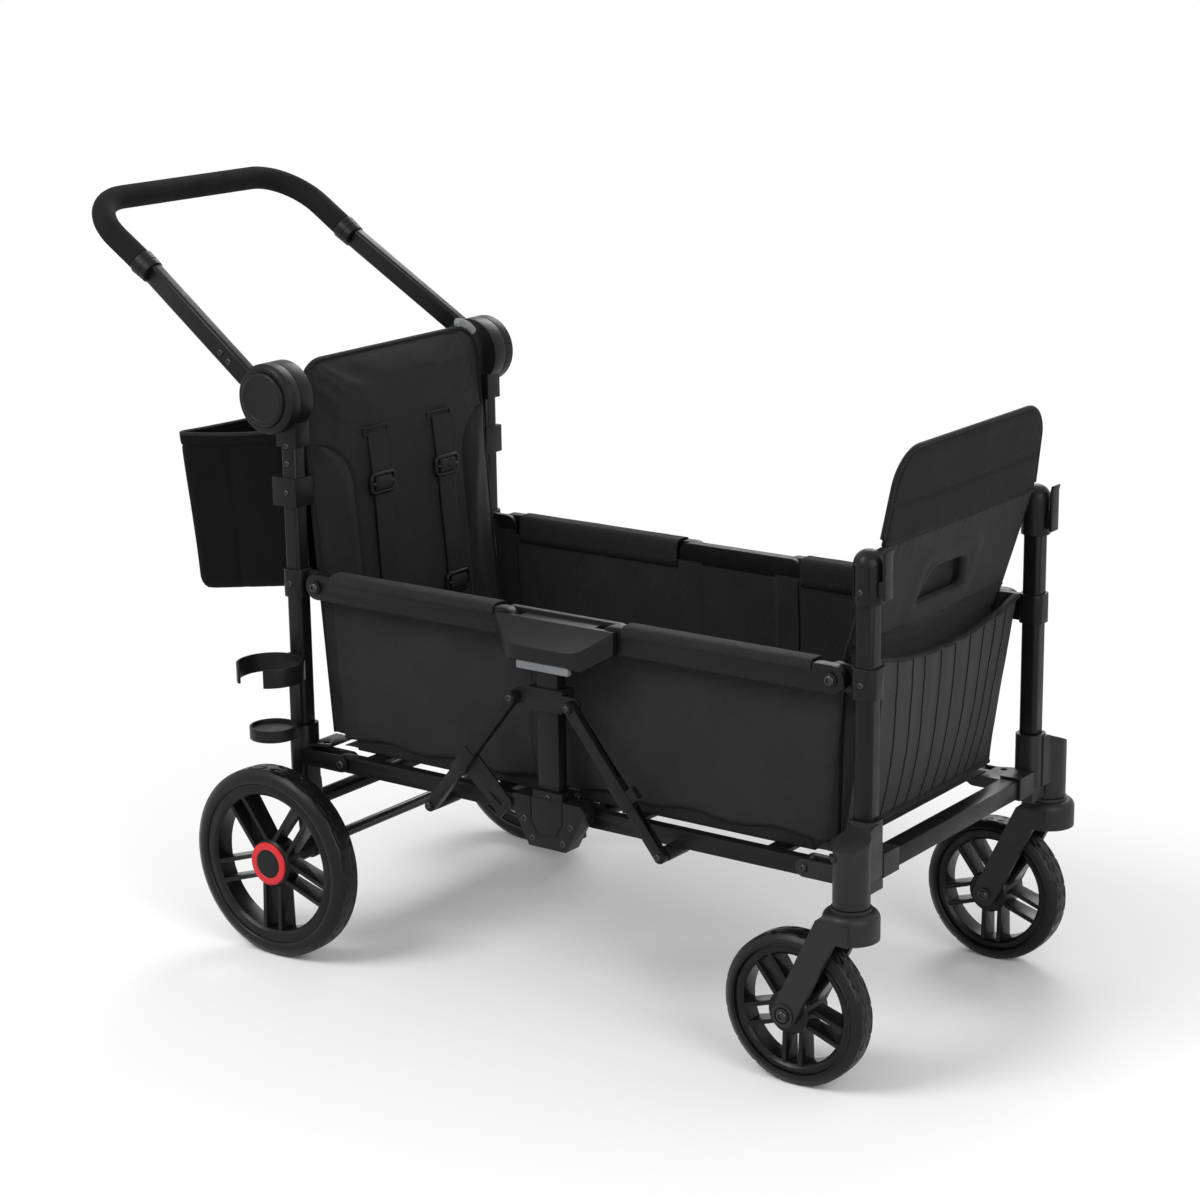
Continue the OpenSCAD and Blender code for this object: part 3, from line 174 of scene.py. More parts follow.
def cloth_material(name, color, period, depth, rough=0.74, sheen=0.03, gloss=0.16):
    """Woven cloth: crossing threads along the surface, slubs and a soft sheen."""
    mat, tree, bsdf, coords = new_material(name, color, rough, gloss)
    place = coords["Object"]
    facing = tree.add("ShaderNodeSeparateXYZ", {"Vector": coords["Normal"]}).outputs
    threads = 0.0
    for axis in "XYZ":
        part = facing[axis]
        along = tree.calc("SUBTRACT", 1.0, tree.calc("MULTIPLY", part, part))
        bands = tree.calc("MULTIPLY", tree.wave(place, period, axis), along)
        threads = tree.calc("ADD", threads, bands)
    slub = tree.noise(place, 420.0, 2.0)
    height = tree.calc("ADD", threads, tree.calc("MULTIPLY", slub, 0.8))
    tree.feed(bsdf["Normal"], tree.bump(height, depth))
    tree.feed(bsdf["Base Color"], tree.drift(tree.noise(place, 14.0, 6.0), color, 0.86, 1.16))
    tree.feed(bsdf["Roughness"], tree.uneven(slub, rough))
    bsdf["Sheen Weight"].default_value = sheen
    bsdf["Sheen Roughness"].default_value = 0.4
    return mat


def web_material(name, color):
    """Narrow woven webbing with ribs along its length."""
    mat, tree, bsdf, coords = new_material(name, color, 0.66, 0.2)
    place = coords["Object"]
    ribs = tree.calc("ADD", tree.wave(place, 0.0024, "Y"), tree.wave(place, 0.0017, "Z"))
    tree.feed(bsdf["Normal"], tree.bump(ribs, 0.0004))
    tree.feed(bsdf["Base Color"], tree.drift(tree.noise(place, 30.0), color, 0.85, 1.2))
    return mat


def net_material(name, color):
    """Open mesh cloth: threads show, the small holes between them let the view through."""
    mat, tree, bsdf, coords = new_material(name, color, 0.7)
    turn = {"Vector": coords["Object"], "Rotation": (math.pi / 4, 0, 0)}
    tilt = tree.add("ShaderNodeMapping", turn)
    place = tilt.outputs["Vector"]
    holes = tree.calc("MULTIPLY", tree.wave(place, 0.0040, "Y"), tree.wave(place, 0.0040, "Z"))
    open_part = tree.calc("GREATER_THAN", holes, 0.42)
    tree.feed(bsdf["Alpha"], tree.calc("SUBTRACT", 1.0, open_part))
    tree.feed(bsdf["Normal"], tree.bump(holes, 0.0005))
    return mat


# Colour, roughness, scale and depth in metres of the grain, specular level.
HARD_LOOKS = {
    "frame_black": ((0.0045, 0.0046, 0.0050), 0.34, 500.0, 0.000004, 0.17),
    "rail_black": ((0.0046, 0.0047, 0.0051), 0.40, 500.0, 0.000006, 0.17),
    "plastic_black": ((0.0052, 0.0053, 0.0057), 0.38, 1300.0, 0.00003, 0.17),
    "casting_grey": ((0.0112, 0.0114, 0.0121), 0.44, 1300.0, 0.00005, 0.24),
    "tyre_black": ((0.0046, 0.0046, 0.0050), 0.36, 700.0, 0.00003, 0.20),
    "rim_black": ((0.0034, 0.0035, 0.0039), 0.30, 900.0, 0.00002, 0.19),
    "ring_red": ((0.500, 0.0055, 0.0100), 0.28, 900.0, 0.00002, 0.40),
    "foam_black": ((0.0074, 0.0074, 0.0078), 0.84, 420.0, 0.00035, 0.12),
    "grey_plastic": ((0.125, 0.128, 0.134), 0.44, 1300.0, 0.00004, 0.30),
    "bolt_black": ((0.0100, 0.0100, 0.0106), 0.28, 800.0, 0.00002, 0.45),
}
# Colour, period and depth in metres of the weave; then roughness, sheen and specular level.
CLOTH_LOOKS = {
    "fabric_black": ((0.0116, 0.0114, 0.0124), 0.0016, 0.00030),
    "wall_black": ((0.0162, 0.0159, 0.0172), 0.0016, 0.00030),
    "head_black": ((0.0085, 0.0084, 0.0091), 0.0016, 0.00030, 0.74, 0.03, 0.09),
    "pad_black": ((0.0165, 0.0162, 0.0174), 0.0018, 0.00030),
    "bag_black": ((0.0029, 0.0029, 0.0031), 0.0016, 0.00022, 0.72, 0.01, 0.05),
    "piping_black": ((0.0050, 0.0050, 0.0054), 0.0014, 0.00025, 0.60),
    "board_black": ((0.0080, 0.0080, 0.0086), 0.0020, 0.00035),
}
WEB_LOOKS = {"web_black": ((0.0066, 0.0066, 0.0070),), "web_grey": ((0.240, 0.244, 0.252),)}
NET_LOOKS = {"mesh_black": ((0.0220, 0.0220, 0.0232),)}

MATERIALS = {}
for make, looks in ((hard_material, HARD_LOOKS), (cloth_material, CLOTH_LOOKS),
                    (web_material, WEB_LOOKS), (net_material, NET_LOOKS)):
    MATERIALS.update({name: make(name, *look) for name, look in looks.items()})


# Mesh helpers.


def add_mesh(name, verts, faces):
    """A new smooth object from points in metres in the model's frame."""
    mesh = bpy.data.meshes.new(name)
    mesh.from_pydata([tuple(v) for v in verts], [], faces)
    mesh.validate()
    obj = bpy.data.objects.new(name, mesh)
    SCENE.collection.objects.link(obj)
    shade_smooth(obj)
    return obj


def shade_smooth(obj):
    obj.data.polygons.foreach_set("use_smooth", [True] * len(obj.data.polygons))


def finish_mesh(obj):
    """Welds doubles and turns all faces outward."""
    bm = bmesh.new()
    bm.from_mesh(obj.data)
    bmesh.ops.remove_doubles(bm, verts=bm.verts, dist=1e-6)
    bmesh.ops.recalc_face_normals(bm, faces=bm.faces)
    bm.to_mesh(obj.data)
    bm.free()
    return obj


def apply_modifiers(obj):
    """Bakes the modifiers into the mesh."""
    graph = bpy.context.evaluated_depsgraph_get()
    mesh = bpy.data.meshes.new_from_object(obj.evaluated_get(graph))
    obj.modifiers.clear()
    obj.data = mesh
    return obj


def dress(obj, body, slot, mat=None, nodes=()):
    """Gives a piece its material, the slot's unless another is named, joins it to its body and
    hides the CAD nodes it stands for.
    """
    obj.data.materials.clear()
    obj.data.materials.append(MATERIALS[mat or slot])
    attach(obj, body)
    if nodes:
        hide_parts(*nodes)
    return obj


def quads(rows, count, around=False, closed=False, first=0):
    """Faces between rows of count points; around joins each row's ends, closed the outer rows."""
    faces = []
    for i in range(rows if closed else rows - 1):
        row, ahead = first + i * count, first + (i + 1) % rows * count
        for j in range(count if around else count - 1):
            k = (j + 1) % count
            faces.append((row + j, row + k, ahead + k, ahead + j))
    return faces


def flat_list(rows):
    return [p for row in rows for p in row]


def loft(name, rings, closed=False):
    """A tube through rings of points, joined to itself or with its ends filled."""
    rows, count = len(rings), len(rings[0])
    faces = quads(rows, count, True, closed)
    if not closed:
        faces.append(tuple(reversed(range(count))))
        faces.append(tuple(range((rows - 1) * count, rows * count)))
    return finish_mesh(add_mesh(name, flat_list(rings), faces))


def sweep(name, path, radius, sides=10, closed=False, flat=1.0):
    """A round or flattened tube along a path of points, its radius in millimetres."""
    points = [Vector(p) for p in path]
    rings = []
    up = Vector((0, 0, 1))
    count = len(points)
    for i, p in enumerate(points):
        ahead = points[(i + 1) % count] if closed or i + 1 < count else p
        behind = points[i - 1] if closed or i > 0 else p
        along = (ahead - behind).normalized()
        if abs(along.dot(up)) > 0.95:
            up = Vector((1, 0, 0)) if abs(along.x) < 0.9 else Vector((0, 1, 0))
        side = along.cross(up).normalized()
        up = side.cross(along).normalized()
        ring = []
        for j in range(sides):
            a = 2 * math.pi * j / sides
            ring.append(p + (side * math.cos(a) + up * (math.sin(a) * flat)) * (radius / 1000))
        rings.append(ring)
    return loft(name, rings, closed)


def piping(name, body, path, radius, sides=10, closed=False, flat=1.0):
    """A cord of cloth along a path."""
    tube = sweep(name, path, radius, sides, closed, flat)
    return dress(tube, body, "fabric_black", "piping_black")


def turned(profile, center, axis, steps, share=lambda i, k: 1.0):
    """A profile of (radius, height) in millimetres turned round an axis, radii times a share."""
    axis = Vector(axis).normalized()
    side = axis.orthogonal().normalized()
    other = axis.cross(side)
    points = []
    for i in range(steps):
        a = 2 * math.pi * i / steps
        out = side * math.cos(a) + other * math.sin(a)
        points += [center + out * (r * share(i, k) / 1000) + axis * (h / 1000)
                   for k, (r, h) in enumerate(profile)]
    return points


def lathe(name, profile, center, axis, steps=64):
    faces = quads(steps, len(profile), closed=True)
    return finish_mesh(add_mesh(name, turned(profile, center, axis, steps), faces))


def auto_smooth(obj, angle):
    """Shades smoothly across soft edges only."""
    bm = bmesh.new()
    bm.from_mesh(obj.data)
    limit = math.radians(angle)
    for edge in bm.edges:
        edge.smooth = not (len(edge.link_faces) == 2 and edge.calc_face_angle(0.0) > limit)
    for face in bm.faces:
        face.smooth = True
    bm.to_mesh(obj.data)
    bm.free()
    return obj


# Rigid parts carried over with rounded edges.


def refine(node, width, segments, mat):
    """A copy of a rigid CAD node with its edges rounded, standing for that node."""
    obj = bpy.data.objects.new(node + "_shape", NODES[node].data.copy())
    SCENE.collection.objects.link(obj)
    bm = bmesh.new()
    bm.from_mesh(obj.data)
    bmesh.ops.remove_doubles(bm, verts=bm.verts, dist=2e-5)
    bmesh.ops.dissolve_limit(bm, angle_limit=math.radians(1.0), verts=bm.verts, edges=bm.edges)
    bm.to_mesh(obj.data)
    bm.free()
    bevel = obj.modifiers.new("round", "BEVEL")
    bevel.width = width / 1000
    bevel.segments = segments
    bevel.limit_method = "ANGLE"
    bevel.angle_limit = math.radians(38)
    bevel.use_clamp_overlap = True
    bevel.harden_normals = False
    apply_modifiers(obj)
    auto_smooth(obj, 32)
    subparts = frame["record"]["subparts"]
    slot = next(s["material_slot"] for s in subparts if s["node"] == node)
    return dress(obj, body_of(node), slot, mat, [node])


# Width of the rounding in millimetres, its segments, a material other than the slot's, the nodes.
ROUNDED = (
    (1.0, 2, None, ("rear_posts", "rear_corners", "rear_cross_tube", "handle_arms",
                    "center_columns", "center_cross_tube", "rear_links", "front_links",
                    "front_posts", "front_cross_bar", "rear_lower_rails", "front_lower_rails",
                    "rear_top_rails", "front_top_rails", "rear_axle", "front_bolt_right",
                    "front_bolt_left")),
    (1.6, 3, None, ("rear_rail_brackets", "front_rail_brackets", "bag_clamps", "cup_holder",
                    "center_brackets", "link_sliders", "cap_clips", "hub_bases", "latch_housings",
                    "latch_bar_right", "latch_bar_left", "post_caps")),
    (0.9, 3, None, ("hub_covers",)),
    (2.0, 3, None, ("pivot_button_right", "pivot_button_left")),
    (3.5, 4, "casting_grey", ("fork_right", "fork_left", "front_castings")),
    (1.2, 2, None, ("rear_rim_right", "rear_rim_left", "front_rim_right", "front_rim_left")),
    (1.5, 3, None, ("hub_ring_right", "hub_ring_left")),
)
for width, segments, mat, nodes in ROUNDED:
    for node in nodes:
        refine(node, width, segments, mat)


# Tyres: outer radius, width, inner radius and tread marks round each.

TYRES = {"rear": (137, 42, 115, 20), "front": (101, 40, 85, 16)}
MARK_STEPS, MARK_DEPTH = 16, 1.3


def tyre(node, radius, width, inner, marks):
    """A tyre with rounded shoulders and shallow oval tread marks."""
    low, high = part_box(node)
    center = (low + high) / 2
    half = width / 2
    side = [(inner, half - 3), (inner + 1.5, half - 1), (inner + 4, half), (radius - 16, half),
            (radius - 11, half - 0.6), (radius - 7, half - 2.4), (radius - 4, half - 5)]
    crown = [(radius - 0.06 * (y / 4) ** 2, y) for y in np.linspace(half - 7, 7 - half, 19)]
    profile = side + crown + [(r, -y) for r, y in reversed(side)]
    steps = marks * MARK_STEPS
    verts = []
    for i in range(steps):
        a = 2 * math.pi * i / steps
        u = (i / MARK_STEPS) % 1.0 - 0.5
        for r, y in profile:
            v = (abs(y) - 0.40 * half) / (0.24 * half)
            oval = (u / 0.38) ** 2 + v * v
            cut = MARK_DEPTH if 0.62 < oval < 1.1 and r > radius - 6 else 0.0
            reach = (r - cut) / 1000
            verts.append(center + Vector((reach * math.cos(a), y / 1000, reach * math.sin(a))))
    faces = quads(steps, len(profile), True, True)
    obj = finish_mesh(add_mesh(node + "_shape", verts, faces))
    return dress(obj, body_of(node), "tyre_black", None, [node])


for side in SIDES:
    for end, sizes in TYRES.items():
        tyre(f"{end}_tyre_{side}", *sizes)


# Soft goods.


def wrinkle(x, y, z, scale, seed):
    """Slow folds for cloth, the same on every run; lengths in millimetres."""
    p = Vector((x + 731 * seed, y, z)) * (scale / 1000)
    return 0.7 * noise.noise(p) + 0.3 * noise.noise(p * 2.7)


def share_of(low, high, value):
    """How far a value has come from low to high, from 0 to 1."""
    return min(1.0, max(0.0, (value - low) / (high - low)))


def smooth_step(low, high, value):
    t = share_of(low, high, value)
    return t * t * (3 - 2 * t)


def ridge(value, center, width):
    """A soft bump of height 1 along a line."""
    return math.exp(-((value - center) / width) ** 2)


def round_edge(distance, radius):
    """How far a cushion has swelled at a distance from its edge, from 0 to 1."""
    return math.sqrt(1 - (1 - share_of(0, radius, distance)) ** 2)


def mirrored(path):
    """Half an outline of (y, height), and then its mirror image."""
    return path + [(-y, height) for y, height in reversed(path[:-1])]


def corner_arcs(half_a, half_b, radius, steps):
    """The four round corners of a rectangle, each as points (a, b)."""
    arcs = []
    for sign_a, sign_b, first in ((1, 1, 0), (-1, 1, 90), (-1, -1, 180), (1, -1, 270)):
        arc = []
        for i in range(steps + 1):
            turn = math.radians(first + 90 * i / steps)
            arc.append((sign_a * (half_a - radius) + radius * math.cos(turn),
                        sign_b * (half_b - radius) + radius * math.sin(turn)))
        arcs.append(arc)
    return arcs


def cloth(name, rows, thickness=0.0):
    """A cloth through rows of points, with a thickness in millimetres or as a bare surface."""
    faces = quads(len(rows), len(rows[0]))
    obj = finish_mesh(add_mesh(name, flat_list(rows), faces))
    if not thickness:
        return obj
    solid = obj.modifiers.new("thick", "SOLIDIFY")
    solid.thickness = thickness / 1000
    solid.offset = 0.0
    return apply_modifiers(obj)


def pad(name, front, back, cols, rows):
    """A closed cushion between a front and a back surface, each a function over the unit square."""
    us = [i / cols for i in range(cols + 1)]
    vs = [j / rows for j in range(rows + 1)]
    wide = cols + 1
    verts = [front(u, v) for v in vs for u in us]
    count = len(verts)
    verts += [back(u, v) for v in vs for u in us]
    faces = quads(rows + 1, wide)
    faces += [tuple(count + i for i in reversed(face)) for face in faces]
    ring = list(range(wide)) + [j * wide + cols for j in range(1, rows + 1)]
    ring += [rows * wide + i for i in range(cols - 1, -1, -1)]
    ring += [j * wide for j in range(rows - 1, 0, -1)]
    for a, b in zip(ring, ring[1:] + ring[:1]):
        faces.append((a, b, b + count, a + count))
    return finish_mesh(add_mesh(name, verts, faces))


def swell(obj, voxel, pressure, cap, held):
    """Blows a cushion up as cloth for a short while; held tells which points stay in place."""
    even = obj.modifiers.new("even", "REMESH")
    even.mode = "VOXEL"
    even.voxel_size = voxel / 1000
    apply_modifiers(obj)
    rest = [v.co.copy() for v in obj.data.vertices]
    group = obj.vertex_groups.new(name="held")
    group.add([i for i, co in enumerate(rest) if held(co)], 1.0, "REPLACE")
    settings = obj.modifiers.new("cloth", "CLOTH").settings
    settings.vertex_group_mass = "held"
    settings.use_pressure = True
    settings.uniform_pressure_force = pressure
    settings.effector_weights.gravity = 0
    settings.quality = 4
    for step in range(1, 21):
        SCENE.frame_set(step)
    graph = bpy.context.evaluated_depsgraph_get()
    moved = [v.co.copy() for v in obj.evaluated_get(graph).data.vertices]
    obj.modifiers.clear()
    obj.vertex_groups.clear()
    for vertex, start, end in zip(obj.data.vertices, rest, moved):
        shift = end - start
        if shift.length > cap / 1000:
            shift *= cap / 1000 / shift.length
        vertex.co = start + shift
    SCENE.frame_set(1)
    obj.modifiers.new("fine", "SUBSURF").levels = 1
    apply_modifiers(obj)
    shade_smooth(obj)


def surface_of(obj):
    """A function that gives a cushion's front at (y, z), in millimetres from the fold centre."""
    tree = BVHTree.FromPolygons([v.co for v in obj.data.vertices],
                                [p.vertices for p in obj.data.polygons])

    def front(y, z):
        hit = tree.ray_cast(at(-200, y, z), Vector((-1, 0, 0)))[0]
        return (hit.x - SHIFT) * 1000

    return front


# The seat back: a cushion with side bolsters, sewn seams and piping.

BACK_LOW, BACK_HIGH, BACK_HALF, BACK_ROUND = 302, 826, 193.6, 45
BACK_FOOT_X, BACK_LEAN = -418, 44
SEAM_Y, SEAM_LOW, SEAM_HIGH = 122, 640, 712
SLIT_Y, SLIT_Z, STRAP_END, STRAP_HALF = 70, 714, 384, 18
BUCKLE_Z = (642, 470)


def back_plane(z):
    return BACK_FOOT_X - BACK_LEAN * (z - BACK_LOW) / (BACK_HIGH - BACK_LOW)


def back_half(z):
    over = max(0.0, z - (BACK_HIGH - BACK_ROUND))
    return BACK_HALF - BACK_ROUND + math.sqrt(BACK_ROUND ** 2 - over ** 2)


def seam_at(z):
    """Where the bolster seam stands beside the middle at a height."""
    turn = share_of(SEAM_LOW, SEAM_HIGH, z)
    return BACK_HALF - (BACK_HALF - SEAM_Y) * math.sqrt(1 - turn * turn)


def back_edge(y, z):
    """Distance to the cushion's outline."""
    side = BACK_HALF - abs(y)
    top = BACK_HIGH - z
    if side < BACK_ROUND and top < BACK_ROUND:
        side = top = BACK_ROUND - math.hypot(BACK_ROUND - side, BACK_ROUND - top)
    return max(0.0, min(side, top, z - BACK_LOW))


def back_groove(y, z):
    """Depth of the sewn lines of the seat back."""
    depth = 2.2 * ridge(z, SLIT_Z + 9, 5.0) * ridge(abs(y), SLIT_Y, 30)
    if z < SEAM_HIGH:
        depth += 4.5 * ridge(abs(y), seam_at(z), 4.0)
    return depth


def back_yz(u, v):
    z = BACK_LOW + (BACK_HIGH - BACK_LOW) * v
    return back_half(z) * (2 * u - 1), z


def back_front(u, v):
    y, z = back_yz(u, v)
    rise = 9.5 + 5.5 * (1 - (y / BACK_HALF) ** 2)
    seam = seam_at(z)
    if z < SEAM_HIGH and abs(y) > seam:
        rise += 8 * math.sin(math.pi * (abs(y) - seam) / (BACK_HALF - seam + 1))
    rise += 1.4 * wrinkle(0, y, z, 11, 1)
    return at(back_plane(z) + rise * round_edge(back_edge(y, z), 16), y, z)


def back_rear(u, v):
    y, z = back_yz(u, v)
    return at(back_plane(z) - 10 * round_edge(back_edge(y, z), 12), y, z)


def seat_back():
    def held(co):
        return (co.x - SHIFT) * 1000 < back_plane(co.z * 1000) + 1.0

    obj = pad("seat_back", back_front, back_rear, 84, 112)
    swell(obj, voxel=5.0, pressure=4.0, cap=5.0, held=held)
    for vertex in obj.data.vertices:
        x, y, z = (vertex.co.x - SHIFT) * 1000, vertex.co.y * 1000, vertex.co.z * 1000
        if x > back_plane(z) + 4:
            vertex.co.x -= back_groove(y, z) / 1000
    dress(obj, "rear_frame", "fabric_black", None, ["rear_seat_back"])
    return obj


def back_piping():
    path = [(-BACK_HALF, z) for z in np.linspace(BACK_LOW + 4, BACK_HIGH - BACK_ROUND, 40)]
    for a in np.radians(range(6, 91, 6)):
        path.append((-BACK_HALF + BACK_ROUND * (1 - math.cos(a)),
                     BACK_HIGH - BACK_ROUND * (1 - math.sin(a))))
    path += [(y, BACK_HIGH) for y in np.linspace(-BACK_HALF + BACK_ROUND, 0, 16)[1:]]
    points = [at(back_plane(z), y, z) for y, z in mirrored(path)]
    piping("seat_back_piping", "rear_frame", points, 3.6)


def strap_place(front, side, z):
    """Where a shoulder strap's middle stands at a height: how far out, and how far sideways."""
    fall = (SLIT_Z - z) / (SLIT_Z - STRAP_END)
    loose = 1.4 + 3.4 * math.sin(math.pi * fall) + 1.0 * math.sin(9 * fall + side)
    y = side * (SLIT_Y + 3 * math.sin(3 * fall))
    return front(side * SLIT_Y, z) + loose, y


def strap(name, front, side):
    """One shoulder strap of webbing from its slit down to its free end, a little loose."""
    rows = []
    for z in np.linspace(SLIT_Z, STRAP_END, 120):
        x, y = strap_place(front, side, z)
        rows.append([at(x + 0.5 * wrinkle(0, c, z, 20, side), y + c, z)
                     for c in np.linspace(-STRAP_HALF, STRAP_HALF, 13)])
    return cloth(name, rows, 1.6)


LOOP_SECTIONS = ((-17.6, 0.5), (-17.2, 0.85), (-16.2, 1.0), (-8, 1.03), (0, 1.0), (8, 1.03),
                 (16.2, 1.0), (17.2, 0.85), (17.6, 0.5))


def strap_loop(name, center):
    """The webbing folded over a buckle's bar."""
    rings = []
    for y, share in LOOP_SECTIONS:
        ring = []
        for a in [2 * math.pi * i / 24 for i in range(24)]:
            x, z = 4.2 * share * math.cos(a) + 1.2, 10.5 * share * math.sin(a)
            ring.append(center + Vector((x, y, z)) / 1000)
        rings.append(ring)
    return loft(name, rings)


def frame_ring(name, center, half_y, half_z, radius):
    """A rectangular ring with round corners, standing in the seat back's plane."""
    arcs = corner_arcs(half_y, half_z, min(half_y, half_z) * 0.45, 6)
    path = [center + Vector((0, y, z)) / 1000 for y, z in flat_list(arcs)]
    return sweep(name, path, radius, 10, True)


def harness(front):
    for label, side in SIDES.items():
        obj = strap("harness_strap_" + label, front, side)
        dress(obj, "rear_frame", "fabric_black", "web_black", ["harness_straps"])
        y, z = side * SLIT_Y, SLIT_Z + 2
        slit = frame_ring("strap_slit_" + label, at(front(y, z) + 0.4, y, z), 26, 4.6, 1.9)
        dress(slit, "rear_frame", "fabric_black", "piping_black")
        for row, z in enumerate(BUCKLE_Z):
            x, y = strap_place(front, side, z)
            place = at(x + 1.6, y, z)
            buckle = frame_ring(f"strap_buckle_{label}_{row}", place, 24, 13, 3.0)
            dress(buckle, "rear_frame", "plastic_black")
            path = [place + Vector((1, s, 0)) / 1000 for s in (-22, 0, 22)]
            bar = sweep(f"strap_bar_{label}_{row}", path, 3.2)
            dress(bar, "rear_frame", "plastic_black")
            loop = strap_loop(f"strap_loop_{label}_{row}", place)
            dress(loop, "rear_frame", "fabric_black", "web_black")


def corner_band():
    """The grey band sewn over the far top corner of the seat back."""
    rings = []
    for a in np.radians(np.linspace(40, 84, 40)):
        ring = []
        for c in np.linspace(0, 2 * math.pi, 33)[:-1]:
            reach = BACK_ROUND + 9.5 + 6.5 * math.cos(c) + 0.8 * math.sin(3 * a)
            z = BACK_HIGH - BACK_ROUND + reach * math.sin(a)
            y = BACK_HALF - BACK_ROUND + reach * math.cos(a)
            ring.append(at(back_plane(min(z, BACK_HIGH)) + 5.0 * math.sin(c), y, z))
        rings.append(ring)
    obj = loft("corner_band", rings)
    dress(obj, "rear_frame", "grey_plastic", "web_grey")


# The storage bag behind the seat back: a shell that sags between its clamps.

BAG_FRONT, BAG_REAR, BAG_FLARE, BAG_HALF, BAG_SAG = -486.4, -674, 32, 194.6, 6
BAG_REAR_Z, BAG_FRONT_Z = (476, 228), (506, 225)  # foot and depth at the rear and at the front
SIDE_STEPS = 24


def bag_ring(t, inset, sag):
    """A ring of the bag at a share t of its height, with round corners, folds and a slack rim."""
    rear = BAG_REAR - BAG_FLARE * t
    mid_x, half_x = (BAG_FRONT + rear) / 2, (BAG_FRONT - rear) / 2 - inset
    half_y = BAG_HALF - inset
    arcs = corner_arcs(half_x, half_y, 20.0 - 0.4 * inset, 8)
    ring = []
    for arc, ahead in zip(arcs, arcs[1:] + arcs[:1]):
        (ax, ay), (bx, by) = arc[-1], ahead[0]
        steps = [i / SIDE_STEPS for i in range(1, SIDE_STEPS)]
        ring += arc + [(ax + (bx - ax) * s, ay + (by - ay) * s) for s in steps]
    points = []
    full = math.sin(math.pi * min(1.0, t * 1.15)) if t < 0.87 else 0.0
    for dx, dy in ring:
        x, y = mid_x + dx, dy
        share = (x - rear) / (BAG_FRONT - rear)
        rear_z, front_z = (foot + depth * t for foot, depth in (BAG_REAR_Z, BAG_FRONT_Z))
        z = rear_z * (1 - share) + front_z * share
        side = smooth_step(0.55, 0.98, abs(dy) / half_y)
        back = smooth_step(0.55, 0.98, -dx / half_x)
        bow = 1 - (dy / half_y) ** 2
        fold = 2.6 * ridge(share, 0.46, 0.022) * smooth_step(0.97, 0.86, t)
        outward = math.copysign(side, dy) if dy else 0.0
        y -= outward * abs(fold - 1.2 * full)
        x -= back * (4.5 * full * bow + 1.6 * wrinkle(0, y, z, 9, 4))
        y += outward * 1.2 * abs(wrinkle(x, 0, z, 9, 5))
        slack = back * bow + 0.6 * side * math.sin(math.pi * share)
        z -= sag * smooth_step(0.8, 1.0, t) * slack
        points.append(at(x, y, z))
    return points


def shrink(ring, share, drop):
    """The same ring drawn in towards its middle, for the floor of the bag."""
    mid = sum(ring, Vector()) / len(ring)
    return [mid + (p - mid) * share + Vector((0, 0, drop / 1000)) for p in ring]


# Shares of the bag's height with the inset of its wall there: the foot, the hem and the lining.
BAG_FOOT = ((0.008, 6.5), (0.025, 3.2), (0.05, 1.0), (0.08, 0.0))
BAG_HEM = ((0.90, 0.1), (0.912, 0.5), (0.918, 1.4), (0.924, 0.2), (0.935, -0.4), (0.96, -0.5),
           (0.985, -0.4), (0.997, 0.6), (0.997, 3.4), (0.985, 4.4))
FLOOR_SHARES = (0.02, 0.3, 0.6, 0.85, 1.0)


def storage_bag():
    walls = list(BAG_FOOT) + [(t, 0.0) for t in np.linspace(0.11, 0.88, 28)]
    walls += list(BAG_HEM) + [(t, 4.6) for t in np.linspace(0.95, 0.08, 24)]
    base, floor = bag_ring(0.0, 12, 0), bag_ring(0.05, 9, 0)
    rings = [shrink(base, s, -1.5 * (1 - s)) for s in FLOOR_SHARES]
    rings += [bag_ring(t, inset, BAG_SAG) for t, inset in walls]
    rings += [shrink(floor, s, 0) for s in reversed(FLOOR_SHARES)]
    obj = loft("storage_bag_shell", rings)
    rim = [p + Vector((0, 0, 0.001)) for p in bag_ring(0.99, 1.8, BAG_SAG)]
    piping("storage_bag_piping", "rear_frame", rim, 3.0, 8, True)
    dress(obj, "rear_frame", "fabric_black", "bag_black", ["storage_bag"])


# Side walls: an upper and a lower cloth on each half, and a middle one behind the column.

WALL_LOW, WALL_MID, WALL_HIGH, WALL_Y = 302.5, 404.0, 516.0, 200.6
WALL_ENDS = {"rear": (398, 412), "front": (397, 417)}
WALL_START, MIDDLE_REACH = 62, 100


def wall_end(end, z):
    """How far a side cloth reaches at a height."""
    low, high = WALL_ENDS[end]
    return low + (high - low) * (z - WALL_LOW) / (WALL_HIGH - WALL_LOW)


def wall_y(x, z, seed):
    """Distance of the side cloth from the middle plane, with loose folds between its held edges."""
    x_from_middle = abs(x)
    held = smooth_step(WALL_LOW - 4, WALL_LOW + 40, z)
    held *= 1 - smooth_step(WALL_HIGH - 60, WALL_HIGH - 10, z)
    ends = 1 - smooth_step(320, 392, x_from_middle)
    loose = 2.6 * wrinkle(x, 0, z * 0.45, 9, seed)
    near = ridge(x_from_middle, 92, 55) * (1 - smooth_step(320, 420, z))
    drape = near * 4.5 * math.sin((x_from_middle - 0.55 * (z - 300)) / 13.0)
    belly = 3.5 * math.sin(math.pi * share_of(WALL_LOW, WALL_HIGH, z))
    foot = 2.6 * math.sin(x_from_middle / 21.0 + seed)
    foot *= 1 - smooth_step(WALL_LOW, WALL_LOW + 40, z)
    turn = max(0.0, 1 - (wall_end("front" if x > 0 else "rear", z) - x_from_middle) / 15.0)
    round_in = (6.0 if x > 0 else 3.0) * (1 - math.sqrt(max(0.0, 1 - turn * turn)))
    folds = held * ends * (loose + drape) + belly * (0.35 + 0.65 * ends) + foot * ends
    return WALL_Y + folds - round_in


